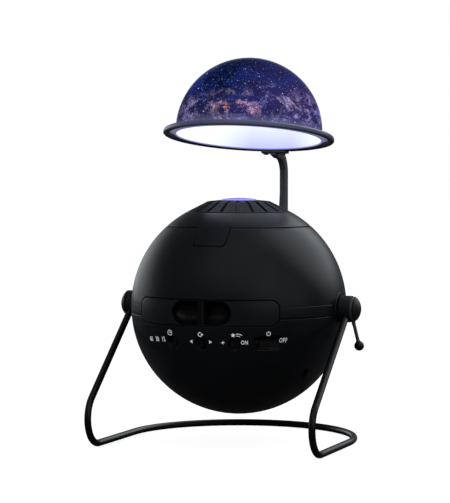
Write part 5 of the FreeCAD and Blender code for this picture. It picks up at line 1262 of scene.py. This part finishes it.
def lever_shape():
    """The lever: a flat ring on the hub's line, a root, a thin rod and a small collar."""
    bore, rim, inner, outer = 3.05, 7.7, 74.5, 76.2
    ring = filleted(
        [(bore, inner + 0.5), (bore, inner), (rim, inner), (rim, outer), (bore, outer),
         (bore, inner + 0.5)], [0.2, 0.35, 0.35, 0.2], 4,
    )  # fmt: skip
    root = stacked(inner, 0.0, line(-9.7, -5.0, 8))
    start, end = np.array((75.35, 0, -8.4)), np.array(LEVER_BALL)
    path = line(start, end, 20)
    back, rod_radius, before_ball = (0.0, 1.0, 0.0), 1.1, 3.4
    rod = swept(path, pinched(back, path), arc((0, 0), rod_radius, 0, 360, 20))
    along = unit(end - start)
    collar = [(0, 0), (1.25, 0.0), (1.45, 0.15), (1.45, 0.95), (1.3, 1.1), (0, 1.1)]
    side, tip = np.cross(along, back), end - along * before_ball
    collar = placed(turned(collar, 28), tip, back, side, along)
    root = strip(root, root + (outer - inner, 0, 0), (0, 1.6, 0), 0.5)
    return [turned(ring, 72, axis=0), root, rod, collar]


def ball_end(centre, radius):
    """The small ball at the lever's end: half a circle turned about z."""
    return [turned(arc((0, 0), radius, -90, 90, 32), 48) + np.asarray(centre)]


# ---- Dome, its ring, bracket and arm ----


def dome_shape(size):
    """The dome: half a ball with a short skirt. Its outside and its inside are two finishes."""
    skirt, wall = -3.7, size.dome_wall
    round_off, inside = 0.2, size.dome - wall

    def side(radius, foot):
        """A quarter of a circle, carried on straight down to the foot."""
        upright = line((radius, 0), (radius, foot), 5)[1:]
        return joined(arc((0, 0), radius, 90, 0, 48), upright)

    foot = [(size.dome, skirt + round_off), (size.dome - round_off, skirt), (inside, skirt)]
    runs = (side(size.dome, skirt + round_off), 0), (foot, 1), (side(inside, skirt), 1)
    return [(on_dome(turned(run, 144), size), kind, None) for run, kind in runs]


def rim_shape(size):
    """The ring round the dome's foot, with a raised lip above and a groove for the dome."""
    wall, bevel, foot, step = size.rim - 3.7, size.rim - 0.5, -4.6, -2.2
    hold, groove, lip = size.dome - 0.5, size.dome + 0.1, size.dome + 0.7
    under = filleted([(wall, step), (wall, foot), (bevel, foot)], [0.4], 4)
    outside = filleted(
        [(bevel, foot), (size.rim, foot + 0.5), (size.rim, -1.6), (lip, -0.4), (groove, -0.9),
         (groove, -1.4)], [0.25, 1.6, 0.2, 0.15], 6,
    )  # fmt: skip
    inside = filleted([(groove, -1.4), (groove, -3.8), (hold, -3.8), (hold, -4.3), (lip, -4.3),
                       (lip, step), (wall, step)], [0.05, 0.1, 0.2, 0.2, 0.2], 3)  # fmt: skip
    # Lit and shaded copies of the ring: the outside lightened as painted light, the inside with a
    # painted lilac glow, the underside in the deeper black of painted shade.
    runs = enumerate((outside, inside, under))
    return [(on_dome(turned(run, 160), size), kind, None) for kind, run in runs]


def bracket_shape(size):
    """The plate under the ring at the back, that the arm's tongue is fixed to."""
    middle, half_deep, half_wide, half_thick, level = 50.3, 3.3, 8.5, 0.77, -5.42
    reach = math.degrees(math.asin(half_wide / middle))
    near, far = (
        lifted(arc((0, 0), middle + way * half_deep, 90 - reach, 90 + reach, 20), level)
        for way in (-1, 1)
    )
    return [on_dome(strip(near, far, (0, 0, half_thick), 0.4), size)]


ARM_FOOT = (80.81, 88.81)  # distances of the front and the rear of the arm's foot


def arm_shape(size):
    """The arm: a flat bar that rises, narrows, bends over the ball and ends in a tongue."""
    waist, neck = 56.18, 70.18  # levels where the taper starts and ends
    (wide, rear), narrow = ARM_FOOT, 82.81  # distances of the front sides and of the rear side
    bend = np.array((72.81, 82.48))
    level = spaced(-1, (waist, 12), (neck, 6), (bend[1], 4))
    front = joined(
        stacked(np.interp(level, [waist, neck], [wide, narrow]), level),
        arc(bend, narrow - bend[0], 0, 98, 22)[1:],
        line((71.30, 92.42), (64.01, 94.66), 5),
    )
    back = joined(
        stacked(rear, level),
        arc(bend, rear - bend[0], 0, 94, 22)[1:],
        line((70.98, 95.05), (64.23, 96.05), 5),
    )
    front, back = (stacked(0.0, side[:, 0], side[:, 1]) for side in (front, back))
    return [strip(front, back, (size.arm_width / 2, 0, 0), 0.45)]


def socket_shape(size):
    """The socket behind the ball, seen from above a wedge with a slot that holds the arm."""
    counts = (14, 40, 12, 40)
    foot, head, slot_floor, roll = -3.0, 15.0, -1.2, 0.7
    slack = 0.15
    half, front, rear = size.arm_width / 2 + slack, ARM_FOOT[0] - slack, ARM_FOOT[1] + slack
    slot = looped([(-half, front), (half, front), (half, rear), (-half, rear)], 0.3, counts)
    right = filleted([(7.4, 63.0), (7.4, 67.5), (4.4, 85.81), (4.4, 91.21), (0, 91.21)],
                     [1.0, 6.0, 2.0], 6)  # fmt: skip
    rear_corner = (3.814, 90.62)
    corner = np.abs(right - rear_corner).sum(-1).argmin()
    side, end = resampled(right[: corner + 1], counts[1]), resampled(right[corner:], counts[2] // 2)
    start = line(right[0] * (-1, 1), right[0], counts[0])
    half = joined(side[:-1], end)
    outer = joined(start[:-1], half, (half * (-1, 1))[::-1][1:])
    ring = outer[:-1]
    tangent = np.roll(ring, -1, 0) - np.roll(ring, 1, 0)
    normal = closed(unit(stacked(-tangent[:, 1], tangent[:, 0])))
    turn = np.radians(np.linspace(0, 90, 5))[:, None]
    round_off = outer + normal * roll * (1 - np.cos(turn[..., None]))
    upper = lifted(round_off, head - roll * (1 - np.sin(turn)))
    lower = lifted(round_off, foot + roll * (1 - np.sin(turn)))
    top = lifted(band(upper[-1], lifted(slot, head), [0.5, 0.94]), head)
    inside = np.stack([lifted(slot, height) for height in (head - 0.3, 0.0, slot_floor)])
    floor = lifted(pinched(slot[:-1].mean(0), slot), slot_floor)[None]
    base = lifted(pinched((0.0, 78.0), outer), foot)[None]
    lip = curve(top[-1], lifted(slot, head), inside[0], 3)
    return [joined(base, lower[::-1], upper, top[:-1], lip, inside[1:], floor)]


# ---- Switches and marks ----

INK = 0.03  # half the thickness of the ink
LIFT = 0.02  # how far the middle of the ink lies over the casing


def knob_shape(size, longitude, shift, half_wide):
    """A switch's knob: a small pad with upright ribs on its face.

    The face rises and falls with (1 + tanh(2.5 cos(2 pi a / pitch))) / 2 at the distance a across.
    """
    out, across, up = facing(longitude)
    face, back, pitch, rib = 64.12, 62.77, 0.9, 0.3

    def top(a, b):
        """How far out the face lies."""
        wave = 0.5 + 0.5 * np.tanh(2.5 * np.cos(2 * np.pi * a / pitch))
        near_end = np.clip((half_wide - 0.25 - np.abs(a)) / 0.2, 0, 1)
        return face + rib * wave * near_end - 0.012 * b**2

    patches = raised(half_wide, 1.8, top, back, 0.3)
    base = up * -size.switch_drop + across * shift
    return [placed(patch, base, across, up, out) for patch in patches]


def on_casing(points, longitude, level, size):
    """Marks drawn flat as (across, up, out), laid round the ball at a longitude and level."""
    turn = math.radians(longitude)
    height = level + points[..., 1] * math.sqrt(1 - (level / size.ball) ** 2)
    ring = np.sqrt(size.ball**2 - height**2)
    turn = turn + points[..., 0] / ring
    out = (size.ball + points[..., 2] + LIFT) / size.ball
    return stacked(ring * np.sin(turn), -ring * np.cos(turn), height) * out[..., None]


def stroke(path, width):
    """A line of ink of even width along a flat path."""
    tangent = unit(np.gradient(path, axis=0))
    side = stacked(-tangent[:, 1], tangent[:, 0]) * width / 2
    return strip(lifted(path + side), lifted(path - side), (0, 0, INK), 0.01, 1)


def filled(outline, middle=(0.0, 0.0)):
    """A flat filled shape round a middle point, as thick as a layer of ink."""
    outline = np.asarray(outline)
    rows = band(pinched(middle, outline), outline, [0, 0.5, 1])
    return joined(lifted(rows, INK), lifted(rows[::-1], -INK))


def lettering(text, height, size, longitude, level):
    """Generic lettering as a mesh round the ball; its cap height is the given one."""
    words = bpy.data.curves.new("lettering", "FONT")
    words.body = text
    words.size = height / 0.7
    words.align_x, words.align_y = "CENTER", "CENTER"
    words.extrude = INK
    words.offset = 0.01 * height
    words.resolution_u = 3
    words.space_character = 1.1
    holder = bpy.data.objects.new("lettering", words)
    bpy.context.scene.collection.objects.link(holder)
    drawn = holder.evaluated_get(bpy.context.evaluated_depsgraph_get())
    mesh = bpy.data.meshes.new_from_object(drawn)
    bpy.data.objects.remove(holder)
    bpy.data.curves.remove(words)
    flat = np.empty(len(mesh.vertices) * 3)
    mesh.vertices.foreach_get("co", flat)
    flat = flat.reshape(-1, 3) * (0.72, 1, 1)
    spots = on_casing(flat, longitude, level, size) * MM
    mesh.vertices.foreach_set("co", (spots + (0, 0, size.centre * MM)).ravel())
    mesh.update()
    return mesh


def arrow_head(tip, way, reach, half):
    """A small triangle as a filled mark."""
    tip, way = np.array(tip), np.array(way)
    side = np.array((-way[1], way[0]))
    foot = tip - way * reach
    return filled([tip, foot + side * half, foot - side * half, tip], tip - way * reach * 0.6)


def clock_mark():
    """A clock: a circle and two hands."""
    hands = line((0, 0.95), (0, -0.15), 3), line((-0.15, 0), (0.75, 0), 3)
    return [stroke(arc((0, 0), 1.55, 0, 360, 36), 0.4), *(stroke(hand, 0.36) for hand in hands)]


def turn_mark():
    """A turning arrow: most of a circle, with a head."""
    return [stroke(arc((0, 0), 1.2, 60, 345, 36), 0.42), arrow_head((1.17, 0.85), (0, 1), 1.1, 0.8)]


def star_mark(points, outer, inner):
    """A star whose outline goes out and in by turns."""
    turn = np.radians(90 + np.arange(2 * points + 1) * 180 / points)
    reach = np.where(np.arange(2 * points + 1) % 2, inner, outer)[:, None]
    return [filled(reach * stacked(np.cos(turn), np.sin(turn)))]


def falling_star():
    """A small star with two curved streaks behind it."""
    long, short = ((1.7, 0.75), (3.4, 1.0), (5.4, -0.1)), ((1.7, -0.45), (2.8, -0.3), (4.2, -1.1))
    return [*star_mark(5, 1.45, 0.66), stroke(curve(*long, 8), 0.34), stroke(curve(*short, 8), 0.3)]


def power_mark():
    """The usual sign for power: an open circle with a short line above."""
    return [stroke(arc((0, 0), 1.2, 125, 415, 36), 0.42), stroke(line((0, 1.6), (0, 0.3), 3), 0.42)]


# ---- Studio ----

MIDDLE = (0.0, 0.0, 0.1)  # what the lamps look at, in metres
FLOOR = 6.0  # radius of the floor in metres


def backdrop():
    """The studio around the object.

    It is white for the camera and through glass. Reflections see a dark room with soft panels:
    behind the object on the left and on the right above, and weak ones in front of it. The rest
    gets a plain light.
    """
    world = bpy.data.worlds.new("studio")
    bpy.context.scene.world = world
    world.use_nodes = True
    nodes = Nodes(world.node_tree)
    path = nodes.node("LightPath").outputs
    place = nodes.node("TexCoord").outputs["Generated"]
    level = 0.1
    for way, low, high, bright in (
        ((0.42, 0.62, 0.66), 0.75, 0.93, 2.0),
        ((-0.87, 0.47, -0.15), 0.76, 0.985, 1.45),
        ((0.92, -0.39, 0.1), 0.74, 0.95, 0.6),
        ((0.24, -0.58, 0.8), 0.68, 0.97, 0.55),
    ):
        near = nodes.vector("DOT_PRODUCT", place, Vector(way).normalized())
        inputs = {0: near, 1: low, 2: high, 3: 0.0, 4: bright}
        panel = nodes.node("MapRange", inputs, interpolation_type="SMOOTHSTEP")
        level = nodes.math("ADD", level, panel.outputs[0])
    plain = nodes.math("MAXIMUM", path["Is Camera Ray"], path["Is Transmission Ray"])
    dim, seen = (
        nodes.node("Background", {"Color": hue, "Strength": strength}).outputs[0]
        for hue, strength in (((0.9, 0.96, 1.0, 1), level), ((1, 1, 1, 1), 1.0))
    )
    ground = world.node_tree.nodes["Background"]
    ground.inputs["Color"].default_value = (0.95, 0.97, 1.0, 1)
    ground.inputs["Strength"].default_value = 0.75
    here = ground.outputs[0]
    for share, other in ((path["Is Glossy Ray"], dim), (plain, seen)):
        here = nodes.node("MixShader", {0: share, 1: here, 2: other}).outputs[0]
    world.node_tree.links.new(here, world.node_tree.nodes["World Output"].inputs[0])


def floor_finish():
    """A pale floor: white to the camera and through glass, with the object's shadow."""
    mat = Finish("floor", Roughness=0.8, Specular_IOR_Level=0.05, Emission_Color=(1, 1, 1, 1))
    path = mat.node("LightPath").outputs
    soft = mat.noise(2.5, 3)
    pale = mat.mix(soft, (0.15, 0.15, 0.155, 1), (0.17, 0.17, 0.17, 1))
    mat.feed(Base_Color=mat.mix(path["Is Glossy Ray"], pale, (0.04, 0.04, 0.042, 1)))
    plain = mat.math("MAXIMUM", path["Is Camera Ray"], path["Is Transmission Ray"])
    mat.feed(Emission_Strength=mat.product(plain, 0.89))
    return mat.material


def lamp(name, place, power, wide, high):
    """A soft rectangular lamp that looks at the object's middle; lengths in metres."""
    data = bpy.data.lights.new(name, "AREA")
    data.shape, data.size, data.size_y, data.energy = "RECTANGLE", wide, high, power
    thing = bpy.data.objects.new(name, data)
    thing.location = place
    way = Vector(MIDDLE) - Vector(place)
    thing.rotation_euler = way.to_track_quat("-Z", "Y").to_euler()
    thing.visible_glossy = False
    bpy.context.scene.collection.objects.link(thing)


# ---- Operators ----


class PROJECTOR_OT_casing(bpy.types.Operator):
    """Build the ball: both halves of the casing and the top cover"""

    bl_idname = "projector.casing"
    bl_label = "Casing"

    def execute(self, context):
        lower, upper, cover = (shape(sizes()) for shape in (lower_casing, upper_casing, top_cover))
        piece("casing_lower", lower, "globe", "casing hollow", "lower_shell")
        piece("casing_upper", upper, "globe", "casing_lined", "upper_shell")
        piece("casing_cover", cover, "globe", "casing", "top_cover")
        return {"FINISHED"}


class PROJECTOR_OT_drawer(bpy.types.Operator):
    """Build the drawer's front with its two finger hollows"""

    bl_idname = "projector.drawer"
    bl_label = "Drawer"

    def execute(self, context):
        shape = drawer_skin(sizes())
        piece("drawer_face", shape, "tray", "drawer hollow", "drawer_front")
        return {"FINISHED"}


class PROJECTOR_OT_lens(bpy.types.Operator):
    """Build the ribbed focus ring and the front lens"""

    bl_idname = "projector.lens"
    bl_label = "Focus ring and lens"

    def execute(self, context):
        piece("focus_grip", focus_shape(sizes()), "focus", "focus", "focus_ring")
        piece("lens_glass", lens_shape(), "barrel", "lens", "front_lens")
        return {"FINISHED"}


class PROJECTOR_OT_stand(bpy.types.Operator):
    """Build the wire stand, the hubs, the cap and the clamp nut"""

    bl_idname = "projector.stand"
    bl_label = "Stand"

    def execute(self, context):
        size = sizes()
        piece("wire", wire(size), "stand", "stand", "stand_wire", 60)
        for way, side in ((-1, "left"), (1, "right")):
            name = side + "_hub"
            piece(name + "_body", hub_shape(size, way), "stand", "hub", name)
            name = side + "_bearing"
            piece(name + "_flange", collar_shape(size, way), "globe", "hub", name)
        cap, nut = button(8.2, -74.5, -75.7, -79.6), button(7.0, 76.3, 77.1, 79.8)
        piece("left_button", cap, "stand", "hub", "left_cap")
        piece("right_button", nut, "stand", "hub", "clamp_nut")
        return {"FINISHED"}


class PROJECTOR_OT_lever(bpy.types.Operator):
    """Build the lock lever and its ball"""

    bl_idname = "projector.lever"
    bl_label = "Lock lever"

    def execute(self, context):
        piece("lever_arm", lever_shape(), "lever", "dark_steel", "lock_lever")
        knob = ball_end(LEVER_BALL, 3.05)
        piece("lever_knob", knob, "lever", "stand", "lever_ball")
        return {"FINISHED"}


class PROJECTOR_OT_dome(bpy.types.Operator):
    """Build the printed dome, its ring, the bracket, the arm and the arm's socket"""

    bl_idname = "projector.dome"
    bl_label = "Dome and arm"

    def execute(self, context):
        size = sizes()
        piece("dome_shell", dome_shape(size), "mast", "sky inside", "dome")
        piece("dome_rim", rim_shape(size), "mast", "rim skirt hollow", "dome_ring")
        piece("bracket_plate", bracket_shape(size), "mast", "arm", "arm_bracket")
        piece("arm_bar", arm_shape(size), "mast", "arm", "dome_arm")
        piece("socket_wedge", socket_shape(size), "globe", "casing", "arm_socket")
        return {"FINISHED"}


class PROJECTOR_OT_switches(bpy.types.Operator):
    """Build the four switch knobs"""

    bl_idname = "projector.switches"
    bl_label = "Switch knobs"

    def execute(self, context):
        names, shifts = ("timer", "turn", "star", "power"), (1.3, 0.0, -1.3, -2.5)
        for name, place, shift in zip(names, (*SWITCHES, POWER), shifts):
            shape = knob_shape(sizes(), place, shift, 3.25 if name == "power" else 1.1)
            piece(name + "_pad", shape, name, "knob", name + "_knob")
        return {"FINISHED"}


class PROJECTOR_OT_marks(bpy.types.Operator):
    """Put generic marks and numbers beside the switches"""

    bl_idname = "projector.marks"
    bl_label = "Marks"

    def execute(self, context):
        size = sizes()
        signs = (
            (clock_mark(), -18.5, -12.3),
            (turn_mark(), -0.1, -12.6),
            ([arrow_head((-0.9, 0), (-1, 0), 1.8, 1.05)], -5.6, -17.0),
            ([arrow_head((0.9, 0), (1, 0), 1.8, 1.05)], 5.4, -17.0),
            (falling_star(), 17.4, -12.7),
            (star_mark(4, 1.35, 0.42), 12.0, -17.3),
            (power_mark(), 35.9, -11.9),
        )
        patches = [
            on_casing(patch, longitude, level, size)
            for marks, longitude, level in signs
            for patch in marks
        ]
        piece("signs", patches, "globe", "ink")
        words = (("60", -34.4, -17.4, 3.0), ("30", -28.9, -17.1, 3.0), ("15", -23.9, -16.8, 3.0),
                 ("ON", 23.35, -17.3, 2.55), ("OFF", 44.3, -16.3, 2.8))  # fmt: skip
        for text, longitude, level, height in words:
            mesh = lettering(text, height, size, longitude, level)
            dressed("mark_" + text.lower(), mesh, "globe", "ink")
        return {"FINISHED"}


class PROJECTOR_OT_inside(bpy.types.Operator):
    """Give the inner parts, the disc and the small screws their finishes"""

    bl_idname = "projector.inside"
    bl_label = "Inner parts"

    def execute(self, context):
        groups = {
            "steel": "left_pivot_pin right_pivot_pin chassis_screws motor_shaft",
            "dark_steel": "case_screws bracket_screws",
            "alloy": "heat_sink gear_motor",
            "acetal": "turntable drive_pinion",
            "board": "lamp_board control_board",
            "film": "star_disc",
            "clear": "rear_lens condenser_lens",
            "focus": "lens_barrel lens_retainer",
            "knob": "slide_switches power_inlet",
            "inner": "lens_mount chassis condenser_holder disc_tray",
        }
        for coat, nodes in groups.items():
            paint(nodes, coat)
        return {"FINISHED"}


class PROJECTOR_OT_stage(bpy.types.Operator):
    """Set up the floor, the studio light and the camera"""

    bl_idname = "projector.stage"
    bl_label = "Stage"

    def execute(self, context):
        disc = turned(stacked(np.linspace(0, FLOOR, 9), 0.0), 64)
        faces = cells_of(*disc.shape[:2])[..., ::-1]
        mesh = bpy.data.meshes.new("floor")
        mesh.from_pydata(disc.reshape(-1, 3), [], faces.reshape(-1, 4).tolist())
        mesh.materials.append(floor_finish())
        floor = bpy.data.objects.new("floor", mesh)
        context.scene.collection.objects.link(floor)
        backdrop()
        lamp("overhead", (0.1, 0.1, 1.5), 8, 1.4, 1.4)
        lamp("left_side", (-0.9, 0.35, 0.5), 2, 0.5, 0.9)
        lamp("right_side", (0.95, 0.45, 0.75), 4, 0.6, 0.8)
        lamp("front_fill", (-0.5, -1.6, 0.9), 9, 1.2, 1.0)
        data = bpy.data.cameras.new("camera")
        data.lens, data.sensor_width = 149.76, 36
        data.clip_start, data.clip_end = 0.05, 50
        camera = bpy.data.objects.new("camera", data)
        camera.location = (0.4567, -1.2287, 0.1815)
        down, turn = math.radians(2.72), math.radians(20.77)
        camera.rotation_euler = (math.pi / 2 - down, 0, turn)
        context.scene.collection.objects.link(camera)
        context.scene.camera = camera
        context.scene.view_settings.view_transform = "Standard"
        return {"FINISHED"}


class PROJECTOR_PT_panel(bpy.types.Panel):
    """The projector's sizes, colours and building steps"""

    bl_idname = "PROJECTOR_PT_panel"
    bl_label = "Planetarium projector"
    bl_space_type = "VIEW_3D"
    bl_region_type = "UI"
    bl_category = "Projector"

    def draw(self, context):
        for group in (context.scene.projector_sizes, context.scene.projector_colours):
            box = self.layout.box()
            for name in type(group).__annotations__:
                box.prop(group, name)
        for step in STEPS:
            self.layout.operator(step.bl_idname)


STEPS = (
    PROJECTOR_OT_stage,
    PROJECTOR_OT_casing,
    PROJECTOR_OT_drawer,
    PROJECTOR_OT_lens,
    PROJECTOR_OT_stand,
    PROJECTOR_OT_lever,
    PROJECTOR_OT_dome,
    PROJECTOR_OT_switches,
    PROJECTOR_OT_marks,
    PROJECTOR_OT_inside,
)
CLASSES = (ProjectorSizes, ProjectorColours, *STEPS, PROJECTOR_PT_panel)


def register():
    """Add the projector's classes and its two groups of settings."""
    for item in CLASSES:
        bpy.utils.register_class(item)
    bpy.types.Scene.projector_sizes = PointerProperty(type=ProjectorSizes)
    bpy.types.Scene.projector_colours = PointerProperty(type=ProjectorColours)


def unregister():
    """Take them away again."""
    del bpy.types.Scene.projector_colours
    del bpy.types.Scene.projector_sizes
    for item in reversed(CLASSES):
        bpy.utils.unregister_class(item)


def main():
    """Build everything."""
    register()
    for step in STEPS:
        group, name = step.bl_idname.split(".")
        getattr(getattr(bpy.ops, group), name)()


if __name__ == "__main__":
    main()
